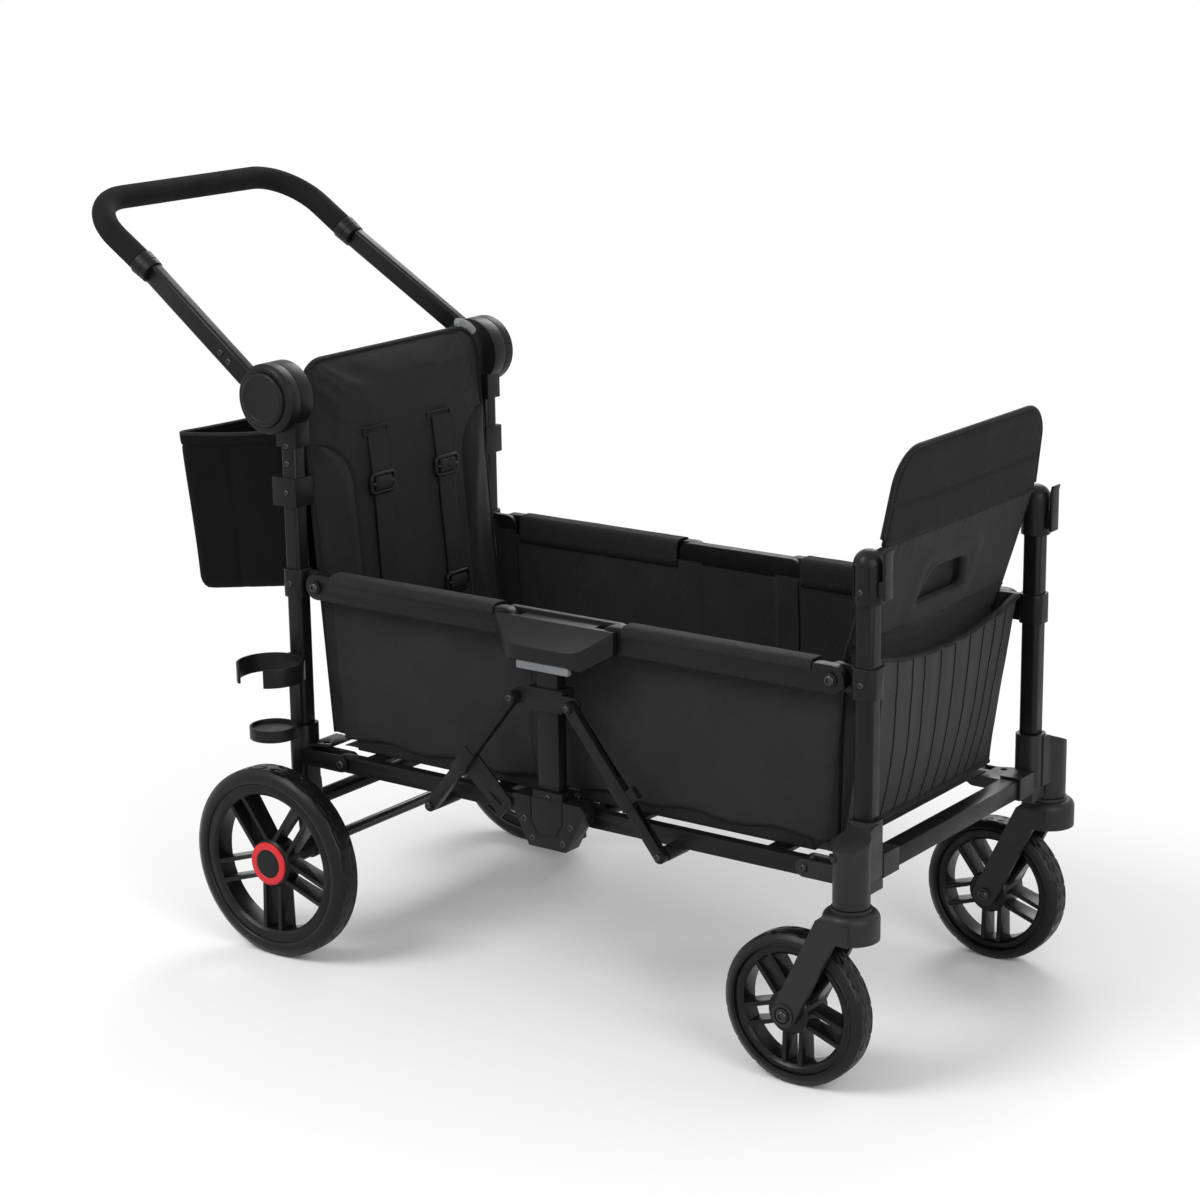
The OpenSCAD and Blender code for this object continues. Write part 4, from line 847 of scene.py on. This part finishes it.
def wall_low(x):
    """The wavy lower edge."""
    return WALL_LOW + 3.5 * (1 - math.cos(2 * math.pi * (abs(x) - 2) / 131))


def tuck(x):
    """How far the middle cloth lies behind the cloths beside it."""
    return 2.4 * smooth_step(59, 68, abs(x))


def no_tuck(x):
    return 0.0


def wall_sheet(name, start, reach, top, bottom, side, inward=no_tuck, cols=120, rows=36):
    """A cloth from start to reach, shaded so that pieces side by side meet without a line."""
    points, normals = [], []
    step = 0.5

    def depth(x, z):
        return wall_y(x, z, 3 * side) - inward(x)

    for share in [j / rows for j in range(rows + 1)]:
        end = reach(bottom(start) + (top - bottom(start)) * share)
        for i in range(cols + 1):
            x = start + (end - start) * i / cols
            z = bottom(x) + (top - bottom(x)) * share
            points.append(at(x, side * depth(x, z), z))
            slope_x = (depth(x + step, z) - depth(x - step, z)) / (2 * step)
            slope_z = (depth(x, z + step) - depth(x, z - step)) / (2 * step)
            normals.append(Vector((-slope_x, side, -slope_z)).normalized())
    faces = quads(rows + 1, cols + 1)
    if (reach(top) > start) == (side > 0):
        faces = [tuple(reversed(face)) for face in faces]
    obj = add_mesh(name, points, faces)
    obj.data.normals_split_custom_set_from_vertices(normals)
    return obj


def edge_cord(name, body, xs, side, inward=no_tuck):
    """The sewn lower edge of a side cloth."""
    path = []
    for x in xs:
        z = wall_low(x)
        path.append(at(x, side * (wall_y(x, z, 3 * side) - inward(x)), z))
    return piping(name, body, path, 1.6, 8)


def end_cloths(label, side, end, sign):
    """The lower and the upper cloth of one end of a side wall."""
    def reach(z):
        return sign * wall_end(end, z)

    start = sign * WALL_START
    low = wall_sheet(f"{end}_wall_lower_{label}", start, reach, WALL_MID, wall_low, side)
    dress(low, f"{end}_lower", "fabric_black", "wall_black")
    xs = np.linspace(start, reach(WALL_LOW) - sign, 90)
    cord = edge_cord(f"{end}_wall_edge_{label}", f"{end}_lower", xs, side)
    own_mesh(cord)
    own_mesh(low)
    high = wall_sheet(f"{end}_wall_upper_{label}", start, reach, WALL_HIGH,
                      lambda x: WALL_MID, side)
    dress(high, f"{end}_upper", "fabric_black", "wall_black", [f"{end}_side_panels"])
    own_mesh(high)


def side_walls():
    for label, side in SIDES.items():
        for end, sign in ENDS.items():
            end_cloths(label, side, end, sign)
        middle = wall_sheet("middle_wall_" + label, -MIDDLE_REACH, lambda z: MIDDLE_REACH,
                            WALL_HIGH - 4, wall_low, side, tuck, 110, 70)
        dress(middle, "center_frame", "fabric_black", "wall_black")
        xs = np.linspace(1 - MIDDLE_REACH, MIDDLE_REACH - 1, 60)
        cord = edge_cord("middle_wall_edge_" + label, "center_frame", xs, side, tuck)


# Corner flaps: the line of each in plan, its flat width in metres and the pad that holds it.
FLAPS = {
    "rear": (((-384, 198.6), (-394, 198.4), (-402, 197.8), (-409, 196.9), (-416, 196.2),
              (-421, 195.4)), 0.038, "seat_back"),
    "front": (((378, 198.6), (388, 198.5), (396, 198.0), (401, 196.9), (404, 195.2), (405.4, 192.6),
               (405.6, 189)), 0.034, "end_wall_pad"),
}


def flap_lean(end, z):
    """How far a corner flap follows the lean of its end at a height."""
    return end_plane(z) - WALL_FOOT[0] if end == "front" else 0.6 * (back_plane(z) - BACK_FOOT_X)


def corner_flaps():
    """Strips of cloth that close the corners between the side walls and the two ends."""
    for label, side in SIDES.items():
        for end, (line, width, holder) in FLAPS.items():
            rows = []
            for z in np.linspace(WALL_LOW + 4, WALL_HIGH + 6, 60):
                lean = flap_lean(end, z)
                rows.append([at(x + lean, side * (y + 0.4 * wrinkle(x, 0, z, 16, 2)), z)
                             for x, y in line])
            obj = cloth(f"{end}_corner_flap_{label}", rows)
            dress(obj, f"{end}_frame", "fabric_black")


HEM_SECTION = ((199.2, 505), (199.2, 515), (199.3, 527), (199.8, 536), (201.3, 540.5),
               (204.5, 543.2), (210, 543.6), (217, 543.8), (223, 543.6), (227, 542.4),
               (229.2, 539.6), (229.6, 535.5), (229.6, 531))
HEM_SPANS = {"rear": (-388, -104), "front": (104, 388)}


def hem(name, x_low, x_high, side, seed):
    """A sleeve of cloth folded over a top rail, with a sewn lower edge."""
    rows = []
    for x in [x_low + (x_high - x_low) * i / 100 for i in range(101)]:
        row = []
        for y, z in HEM_SECTION:
            puff = 0.55 * wrinkle(x, y, z, 24, seed) + 0.45 * math.sin(x / 7.0) * ridge(z, 531, 5)
            out = puff if y > 205 else -abs(puff)
            rise = puff * 0.6 if 204 < y < 227 else 0
            row.append(at(x, side * (y + out), z + rise))
        rows.append(row)
    return cloth(name, rows, 1.3)


def hems():
    for label, side in SIDES.items():
        for end, (low, high) in HEM_SPANS.items():
            obj = hem(f"{end}_hem_{label}", low, high, side, side + low / 100)
            dress(obj, f"{end}_upper", "fabric_black", None, [f"{end}_hems"])


# The front end: padded wall with a hand slot, mesh pocket and head panel.

WALL_FOOT, WALL_KNEE, WALL_HEAD, END_HALF = (405, 302.4), (408, 520), (462, 687.4), 193.5
SLOT_LOW, SLOT_HIGH = (582, 66), (632, 46)  # height and half width at the slot's foot and top
SLOT_LOW_ROUND, SLOT_HIGH_ROUND = 9.0, 24.0
FLAP_TOP, FLAP_FOOT = 650, 568


def end_plane(z):
    """The end wall's plane, bent at the knee."""
    (x0, z0), (x1, z1) = (WALL_FOOT, WALL_KNEE) if z < WALL_KNEE[1] else (WALL_KNEE, WALL_HEAD)
    return x0 + (x1 - x0) * (z - z0) / (z1 - z0)


def slot_outline(grow, count=12):
    """The hand slot's outline as (y, z): a straight foot, leaning sides and a round top."""
    low_z, low_half = SLOT_LOW
    high_z, high_half = SLOT_HIGH
    lean = math.degrees(math.atan2(low_half - high_half, high_z - low_z))
    low_r, high_r = SLOT_LOW_ROUND, SLOT_HIGH_ROUND
    half = []
    for y, z, r, first, last in ((low_half - low_r - 5, low_z + low_r, low_r, -90, lean),
                                 (high_half - high_r + 6, high_z - high_r, high_r, lean, 90)):
        for i in range(count):
            a = math.radians(first + (last - first) * i / (count - 1))
            half.append((y + (r + grow) * math.cos(a), z + (r + grow) * math.sin(a)))
    corners = half + [(-y, z) for y, z in reversed(half)]
    points = []
    for (y0, z0), (y1, z1) in zip(corners, corners[1:] + corners[:1]):
        pieces = max(1, int(math.hypot(y1 - y0, z1 - z0) / 6))
        points += [(y0 + (y1 - y0) * i / pieces, z0 + (z1 - z0) * i / pieces)
                   for i in range(pieces)]
    return points


def end_crown(y, z):
    return round_edge(min(END_HALF - abs(y), z - WALL_FOOT[1], WALL_HEAD[1] - z), 9)


def knee_dent(z):
    return 2.4 * ridge(z, WALL_KNEE[1], 5)


def around_slot(y, z):
    """The swelling of the pad round the hand slot."""
    gap = math.hypot(max(0.0, abs(y) - 52), max(0.0, abs(z - 607) - 22))
    return 4.2 * ridge(gap, 17, 15)


def gathers(y, z):
    """The fine pleats under the upper seam."""
    depth = 0.28 + 0.30 * wrinkle(0, y, 0, 26, 11)
    near = smooth_step(WALL_HEAD[1] - 40, WALL_HEAD[1] - 10, z)
    return depth * math.sin(y / 2.6 + 5 * wrinkle(0, y, z, 14, 5)) * near


def end_yz(u, v):
    return END_HALF * (2 * u - 1), WALL_FOOT[1] + (WALL_HEAD[1] - WALL_FOOT[1]) * v


def end_outer(u, v):
    y, z = end_yz(u, v)
    puff = 3.0
    if z > WALL_KNEE[1] + 26:
        puff += 2.0 + 1.4 * wrinkle(0, y, z, 9, 7) + around_slot(y, z) + gathers(y, z)
    return at(end_plane(z) + puff * end_crown(y, z) - knee_dent(z), y, z)


def end_inner(u, v):
    y, z = end_yz(u, v)
    puff = 5.0 + 3.0 * math.sin(math.pi * u) + 1.2 * wrinkle(0, y, z, 12, 8)
    return at(end_plane(z) - puff * end_crown(y, z) + knee_dent(z), y, z)


def cut_slot(obj):
    """Cuts the hand slot through the end wall."""
    outline = slot_outline(0.0)
    cutter = loft("slot_cutter", [[at(x, y, z) for y, z in outline] for x in (380, 500)])
    cut = obj.modifiers.new("slot", "BOOLEAN")
    cut.operation = "DIFFERENCE"
    cut.object = cutter
    cut.solver = "EXACT"
    apply_modifiers(obj)
    bpy.data.objects.remove(cutter)


def slot_flap():
    """The loose cloth that hangs behind the hand slot."""
    rows = []
    for z in np.linspace(FLAP_TOP, FLAP_FOOT, 34):
        fall = (FLAP_TOP - z) / (FLAP_TOP - FLAP_FOOT)
        rows.append([at(end_plane(z) - 11 - 1.5 * fall * math.sin(y / 14.0), y, z)
                     for y in np.linspace(-80, 80, 50)])
    flap = cloth("slot_flap", rows, 1.0)
    dress(flap, "front_frame", "fabric_black")


def end_wall():
    obj = pad("end_wall_pad", end_outer, end_inner, 170, 130)
    cut_slot(obj)
    auto_smooth(obj, 40)
    dress(obj, "front_frame", "fabric_black", "pad_black", ["front_end_wall"])
    path = [at(end_plane(z) + 1.0, y, z) for y, z in slot_outline(4.6, 14)]
    rim = sweep("slot_rim", path, 7.8, 14, True)
    dress(rim, "front_frame", "fabric_black", "pad_black")
    slot_flap()
    for label, side in SIDES.items():
        path = [at(end_plane(z), side * (END_HALF - 0.4), z)
                for z in np.linspace(WALL_FOOT[1] + 3, WALL_HEAD[1] - 3, 60)]
        piping("end_wall_piping_" + label, "front_frame", path, 3.4)
    path = []
    for y in np.linspace(5 - END_HALF, END_HALF - 5, 60):
        z = 556 + 0.8 * wrinkle(0, y, 0, 14, 3)
        path.append(at(end_plane(z) + 4.6, y, z))
    piping("end_wall_fold_piping", "front_frame", path, 2.4, 8)


HEAD_BASE, HEAD_TALL, HEAD_LEAN, HEAD_ROUND = (465, 690), 116, 19, 44


def head_half(t):
    """Half width of the head panel at a share of its height, with round top corners."""
    half = 194 - 12 * t
    over = max(0.0, t * HEAD_TALL - (HEAD_TALL - HEAD_ROUND))
    return half - HEAD_ROUND + math.sqrt(max(0.0, HEAD_ROUND ** 2 - over ** 2))


def head_point(y, t, out=0.0):
    return at(HEAD_BASE[0] + HEAD_LEAN * t + out, y, HEAD_BASE[1] + HEAD_TALL * t)


def head_face(u, t, sign):
    """The outer or inner face of the head panel; the inner one leaves room for its fold."""
    half, above = head_half(t), t * HEAD_TALL
    y = half * (2 * u - 1)
    edge = min(half - abs(y), (1 - t) * HEAD_TALL, 6 + above)
    puff = 4.0 + 2.2 * math.sin(math.pi * u) + 0.9 * wrinkle(0, y, 100 * t, 14, 9)
    puff *= round_edge(edge, 10)
    puff -= 2.2 * ridge(t, 0.42, 0.035) * round_edge(half - abs(y), 30)
    if sign < 0:
        puff = min(puff, 1.4 + 0.17 * above + 0.4 * max(0.0, above - 16))
    return head_point(y, t, sign * max(0.2, puff))


def head_panel():
    obj = pad("head_panel_pad", lambda u, v: head_face(u, v, 1),
              lambda u, v: head_face(u, v, -1), 96, 44)
    dress(obj, "head", "fabric_black", "head_black", ["head_panel"])
    turn = HEAD_ROUND / HEAD_TALL
    shares = list(np.linspace(0.07, 1 - turn, 20))
    shares += [1 - turn + turn * math.sin(a) for a in np.radians(range(6, 91, 6))]
    path = [(-head_half(t), t) for t in shares]
    path += [(y, 1.0) for y in np.linspace(-head_half(1.0), 0, 20)[1:]]
    piping("head_panel_piping", "head", [head_point(y, t) for y, t in mirrored(path)], 3.4)
    path = [head_point(y, 0.0) for y in np.linspace(-188, 188, 25)]
    piping("head_hinge_roll", "head", path, 3.3, 12)


POCKET_HALF, POCKET_FOOT, POCKET_TALL, POCKET_SAG = 184, 306, 238, 26
PLEAT_Y = (-158, -121, -82, -49, -6, 31, 66, 104, 131, 160)


def pocket_point(y, t):
    """A point of the mesh pocket's front, t from its foot to its slack upper edge."""
    side = y / POCKET_HALF
    above = (POCKET_TALL - POCKET_SAG * (1 - side ** 2)) * t
    z = POCKET_FOOT + above
    plane = 411.6 + 38.4 * above / POCKET_TALL
    belly = 9 * math.sin(math.pi * t ** 0.8) * (1 - side ** 4)
    pleat = 1.1 * math.sin(y / 9.0 + 1.5 * math.sin(y / 31.0)) * (0.3 + 0.7 * t)
    pleat *= 1 - smooth_step(150, POCKET_HALF, abs(y))
    return at(plane + belly + pleat + 1.5 * wrinkle(0, y, z, 13, 6), y, z)


def pocket_row(t, count):
    return [pocket_point(y, t) for y in np.linspace(-POCKET_HALF, POCKET_HALF, count)]


def mesh_pocket():
    net = cloth("pocket_net", [pocket_row(t, 121) for t in np.linspace(0, 1, 61)])
    dress(net, "front_frame", "mesh_black", None, ["mesh_pocket"])
    pieces = [piping("pocket_binding", "front_frame", pocket_row(1.0, 81), 5.8, 10, False, 0.6),
              piping("pocket_foot", "front_frame", pocket_row(0.012, 61), 4.2, 8)]
    for i, y in enumerate(PLEAT_Y):
        path = [pocket_point(y * (0.86 + 0.14 * t), t) + Vector((0.0004, 0, 0))
                for t in np.linspace(0.02, 0.99, 40)]
        pieces.append(piping(f"pocket_pleat_{i}", "front_frame", path, 0.9, 6))
    for label, side in SIDES.items():
        rows = []
        for t in np.linspace(0, 1, 41):
            outer = pocket_point(side * POCKET_HALF, t)
            z = outer.z * 1000
            inner = at(end_plane(z) + 4.2, side * 189, z)
            rows.append([inner.lerp(outer, s) + Vector((0, side * 0.004 * math.sin(math.pi * s), 0))
                         for s in np.linspace(0, 1, 9)])
        gusset = cloth("pocket_gusset_" + label, rows, 1.2)
        pieces.append(dress(gusset, "front_frame", "fabric_black"))


# The floor: a quilted mat on each board, strips that close it and linings behind the walls.

MAT_START, MAT_LONG, MAT_HALF, MAT_Z, QUILT = 8.5, 367, 196.4, 286.3, 98.2
# Name, body, the span along the wagon, the height and the mat that the strip lies on.
STRIPS = (
    ("rear_floor_strip", "rear_lower", -402, -374, 288.6, "rear_floor_mat"),
    ("front_floor_strip", "front_lower", 374, 402, 288.6, "front_floor_mat"),
    ("middle_floor_strip", "center_frame", -7.8, 7.8, 294.6, "front_floor_mat"),
)
LINING_FOOT, LINING_HEAD, LINING_Y = 287.2, 311.0, 197.3


def mat_top(u, v, sign):
    x, y = MAT_START + MAT_LONG * u, MAT_HALF * (2 * v - 1)
    edge = min(x - 8, 376 - x, 196.8 - abs(y))
    quilt = max(ridge(abs(y) % QUILT, c, 4) for c in (0, QUILT))
    quilt += max(ridge(u * 4 % 1, c, 0.045) for c in (0, 1))
    rise = 3.4 + (2.6 - 1.8 * min(1.0, quilt)) * round_edge(edge, 14)
    return at(sign * x, y, MAT_Z + rise * (0.35 + 0.65 * round_edge(edge, 6)))


def mat_foot(u, v, sign):
    return at(sign * (MAT_START + MAT_LONG * u), MAT_HALF * (2 * v - 1), MAT_Z)


def floor_mats():
    for end, sign in ENDS.items():
        obj = pad(end + "_floor_mat", lambda u, v: mat_top(u, v, sign),
                  lambda u, v: mat_foot(u, v, sign), 100, 104)
        dress(obj, f"{end}_lower", "board_black", None, [f"{end}_floor_board"])


def floor_strips():
    """Cloth that closes the floor beyond the boards and between them."""
    for name, body, low, high, base, rests in STRIPS:
        rows = []
        for x in np.linspace(low, high, 14):
            z = base + 0.8 * math.sin(math.pi * (x - low) / (high - low))
            rows.append([at(x, y, z + 0.4 * wrinkle(x, y, 0, 18, 3))
                         for y in np.linspace(-195, 195, 120)])
        obj = cloth(name, rows, 0.8)
        dress(obj, body, "board_black")


def wall_linings():
    """Cloth from the edges of the floor mats up behind the wavy lower edges of the side walls."""
    for label, side in SIDES.items():
        for end, sign in ENDS.items():
            rows = []
            for z in np.linspace(LINING_FOOT, LINING_HEAD, 9):
                share = (z - LINING_FOOT) / (LINING_HEAD - LINING_FOOT)
                row = []
                for x in np.linspace(9, 375, 140):
                    inner = wall_y(sign * x, max(z, WALL_LOW), 3 * side) - 2.6
                    inner -= 2.8 * (1 - smooth_step(102, 114, x))
                    row.append(at(sign * x, side * (LINING_Y + (inner - LINING_Y) * share), z))
                rows.append(row)
            obj = cloth(f"{end}_wall_lining_{label}", rows, 0.6)
            dress(obj, f"{end}_lower", "fabric_black")
            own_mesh(obj)


# The handle's foam grip and its collars.

HANDLE_TILT, HANDLE_PIVOT = math.radians(33.8), (-478, 783)
GRIP_HALF, GRIP_ROUND, GRIP_START, GRIP_TURN, GRIP_END = 217.0, 80, 302.9, 357, 437.0
COLLAR_START = 275.7
COLLAR_PROFILE = ((0, 0), (15.8, 0), (17.2, 0.8), (17.5, 2.2), (17.9, 9), (18.0, 10),
                  (17.3, 10.6), (17.3, 11.8), (18.1, 12.4), (18.7, 22), (19, 25),
                  (18.4, 26.6), (17.2, 27), (0, 27))


def on_handle(s, y):
    """A point of the handle, s along its arms from the hubs."""
    x, z = HANDLE_PIVOT
    return at(x - s * math.cos(HANDLE_TILT), y, z + s * math.sin(HANDLE_TILT))


def grip():
    inner = GRIP_HALF - GRIP_ROUND
    path = [(-GRIP_HALF, s) for s in np.linspace(GRIP_START, GRIP_TURN, 12)]
    path += [(-inner - GRIP_ROUND * math.cos(a), GRIP_TURN + GRIP_ROUND * math.sin(a))
             for a in np.radians(range(5, 91, 5))]
    path += [(y, GRIP_END) for y in np.linspace(-inner, 0, 20)[1:]]
    foam = sweep("grip_foam_tube", [on_handle(s, y) for y, s in mirrored(path)], 17, 28)
    dress(foam, "handle", "foam_black", None, ["grip_foam"])
    along = on_handle(1, 0) - on_handle(0, 0)
    for label, side in SIDES.items():
        place = on_handle(COLLAR_START, side * GRIP_HALF)
        collar = auto_smooth(lathe("grip_collar_" + label, COLLAR_PROFILE, place, along), 40)
        dress(collar, "handle", "plastic_black", None, ["grip_collars"])


# Screws and small hardware.

SCREW_STEPS = 24
# Radius and height as shares of a screw's radius; the second and third points form the socket.
SCREW_PROFILE = ((0.0, 0.25), (0.46, 0.25), (0.50, 0.52), (0.72, 0.50), (0.92, 0.34), (1.0, 0.12),
                 (1.0, -0.2))
CAP_PROFILE = ((0, 3.75), (12, 3.7), (18, 3.5), (20.1, 3.25), (20.5, 3.0), (19.6, 2.1), (19.6, 0.0))
CAP_Y = 309.3
FORK_BOLT, FORK_BOLT_Y, FORK_HALF = (390, 101, 7.4), 258, 39
ARM_SCREWS, ARM_SCREW_R = (82, 102), 4.6
# Piece, body, and each screw's x, distance from the middle plane, z and radius, for both sides.
SCREWS = (
    ("rear_post_screws", "rear_frame", ((-460, 227, 717, 4.4), (-460, 227, 692, 4.4),
                                        (-460, 231.2, 523, 4.2), (-460, 231, 652, 4.0))),
    ("front_post_screws", "front_frame", ((460, 231.2, 523, 4.2), (460, 233.4, 640, 3.8))),
    ("bracket_screws", "center_frame", ((-38, 256.4, 268, 4.6), (38, 256.4, 268, 4.6),
                                        (-25, 256.4, 243, 4.6), (25, 256.4, 243, 4.6),
                                        (0, 254.8, 302, 4.2))),
    ("rear_top_bolts", "rear_upper", ((-416, 231.3, 523, 7.0),)),
    ("front_top_bolts", "front_upper", ((416, 231.3, 523, 7.0),)),
    ("rear_low_bolts", "rear_lower", ((-380, 231.3, 274, 5.6),)),
    ("front_low_bolts", "front_lower", ((380, 231.3, 274, 5.6),)),
    ("slider_screws", "slider", ((-46, 274, 436, 4.6), (46, 274, 436, 4.6))),
    ("rear_brace_screws", "rear_brace", ((-188, 274, 262, 4.6),)),
    ("front_brace_screws", "front_brace", ((188, 274, 262, 4.6),)),
)


def socket_share(step, point):
    """Draws the socket's points in and out round a screw, for its six lobes."""
    return 0.92 if point in (1, 2) and step % 4 < 2 else 1.0


def screws(name, body, places):
    """Socket-head screws as one piece: each with its place, the way it faces and its radius."""
    verts, faces = [], []
    for center, facing, radius in places:
        faces += quads(SCREW_STEPS, len(SCREW_PROFILE), closed=True, first=len(verts))
        profile = [(r * radius, h * radius) for r, h in SCREW_PROFILE]
        verts += turned(profile, center, (0, facing, 0), SCREW_STEPS, socket_share)
    obj = auto_smooth(finish_mesh(add_mesh(name, verts, faces)), 40)
    return dress(obj, body, "bolt_black")


def hardware():
    for label, side in SIDES.items():
        x, z, radius = FORK_BOLT
        bolts = [(at(x, side * FORK_BOLT_Y + turn * FORK_HALF, z), turn, radius)
                 for turn in (-1, 1)]
        screws("fork_bolts_" + label, "caster_" + label, bolts)
        place = at(REAR_AXLE[0], side * CAP_Y, REAR_AXLE[1])
        cap = lathe("hub_cap_" + label, CAP_PROFILE, place, (0, side, 0))
        dress(cap, "rear_wheel_" + label, "plastic_black")
    arm = [(on_handle(s, side * (249.2 - 0.0836 * s)), side, ARM_SCREW_R)
           for side in SIDES.values() for s in ARM_SCREWS]
    screws("arm_screws", "handle", arm)
    for name, body, places in SCREWS:
        screws(name, body, [(at(x, side * y, z), side, radius)
                            for side in SIDES.values() for x, y, z, radius in places])


cushion = seat_back()
back_piping()
harness(surface_of(cushion))
corner_band()
storage_bag()
side_walls()
corner_flaps()
hems()
end_wall()
head_panel()
mesh_pocket()
floor_mats()
floor_strips()
wall_linings()
grip()
hardware()


# Camera, light and floor.

CAMERA_PLACE, CAMERA_TURN = (2205.7, -3154.9, 1522.8), (36.12, 14.67, -0.81)  # millimetres, degrees
SENSOR, FOCAL_PIXELS, FRAME_PIXELS = 36, 2923.0, 1200
FLOOR_HALF, FLOOR_COLOR, FADE_START, FADE_END = 30.0, (0.86, 0.86, 0.86), 0.6, 1.7
WORLD_LIGHT = 0.62
# Name, place, target, size in metres and power in watts.
LAMPS = (
    ("key", (-1.2, -3.2, 3.6), (0, 0, 0.5), 2.4, 120),
    ("fill", (3.6, -1.6, 2.0), (0.2, 0, 0.5), 2.6, 70),
    ("rim", (-1.0, 3.4, 3.0), (0, 0, 0.6), 2.4, 70),
)


def add_camera():
    """The camera that was fitted to the photograph."""
    yaw, pitch, roll = (math.radians(a) for a in CAMERA_TURN)
    ahead = math.cos(pitch)
    forward = Vector((-math.sin(yaw) * ahead, math.cos(yaw) * ahead, -math.sin(pitch)))
    level = Vector((math.cos(yaw), math.sin(yaw), 0))
    upright = level.cross(forward)
    right = level * math.cos(roll) + upright * math.sin(roll)
    up = upright * math.cos(roll) - level * math.sin(roll)
    data = bpy.data.cameras.new("camera")
    data.sensor_width = SENSOR
    data.lens = SENSOR * FOCAL_PIXELS / FRAME_PIXELS
    data.clip_end = 100
    camera = bpy.data.objects.new("camera", data)
    SCENE.collection.objects.link(camera)
    rotation = Matrix((right, up, -forward)).transposed()
    camera.matrix_world = Matrix.Translation(at(*CAMERA_PLACE)) @ rotation.to_4x4()
    SCENE.camera = camera


def add_lamp(name, place, target, size, power):
    data = bpy.data.lights.new(name, "AREA")
    data.shape = "DISK"
    data.size = size
    data.energy = power
    lamp = bpy.data.objects.new(name, data)
    lamp.location = place
    lamp.rotation_euler = (Vector(target) - Vector(place)).to_track_quat("-Z", "Y").to_euler()
    SCENE.collection.objects.link(lamp)


def seen_rays(tree):
    """1 for rays from the camera, from a mirror surface or through a clear one."""
    rays = tree.add("ShaderNodeLightPath", {}).outputs
    mirror = tree.calc("MAXIMUM", rays["Is Glossy Ray"], rays["Is Transmission Ray"])
    return tree.calc("MAXIMUM", rays["Is Camera Ray"], mirror)


def add_world():
    """White studio surroundings; camera and mirror rays see plain white."""
    world = bpy.data.worlds.new("studio")
    SCENE.world = world
    tree = Tree(world)
    back = tree.nodes["Background"].inputs
    back["Color"].default_value = (1, 1, 1, 1)
    ends = {"To Min": WORLD_LIGHT, "To Max": 1.0}
    strength = tree.add("ShaderNodeMapRange", {"Value": seen_rays(tree), **ends})
    tree.feed(back["Strength"], strength.outputs["Result"])


def add_floor():
    """A pale floor that keeps the shadow near the wagon and fades to white further out."""
    corners = [(x * FLOOR_HALF, y * FLOOR_HALF, 0) for x, y in ((-1, -1), (1, -1), (1, 1), (-1, 1))]
    obj = add_mesh("floor", corners, [(0, 1, 2, 3)])
    mat, tree, bsdf, coords = new_material("floor", FLOOR_COLOR, 0.9, 0.1)
    distance = tree.add("ShaderNodeVectorMath", {0: coords["Object"]}, operation="LENGTH")
    ends = {"From Min": FADE_START, "From Max": FADE_END, "Value": distance.outputs["Value"]}
    fade = tree.add("ShaderNodeMapRange", ends, interpolation_type="SMOOTHSTEP")
    share = tree.calc("MULTIPLY", fade.outputs["Result"], seen_rays(tree))
    white = tree.add("ShaderNodeEmission", {"Color": (1, 1, 1, 1)}).outputs["Emission"]
    pale = tree.nodes["Principled BSDF"].outputs["BSDF"]
    mix = tree.add("ShaderNodeMixShader", {"Fac": share, 1: pale, 2: white})
    tree.feed(tree.nodes["Material Output"].inputs["Surface"], mix.outputs["Shader"])
    obj.data.materials.append(mat)


add_camera()
add_world()
add_floor()
for lamp in LAMPS:
    add_lamp(*lamp)
SCENE.view_settings.view_transform = "Standard"
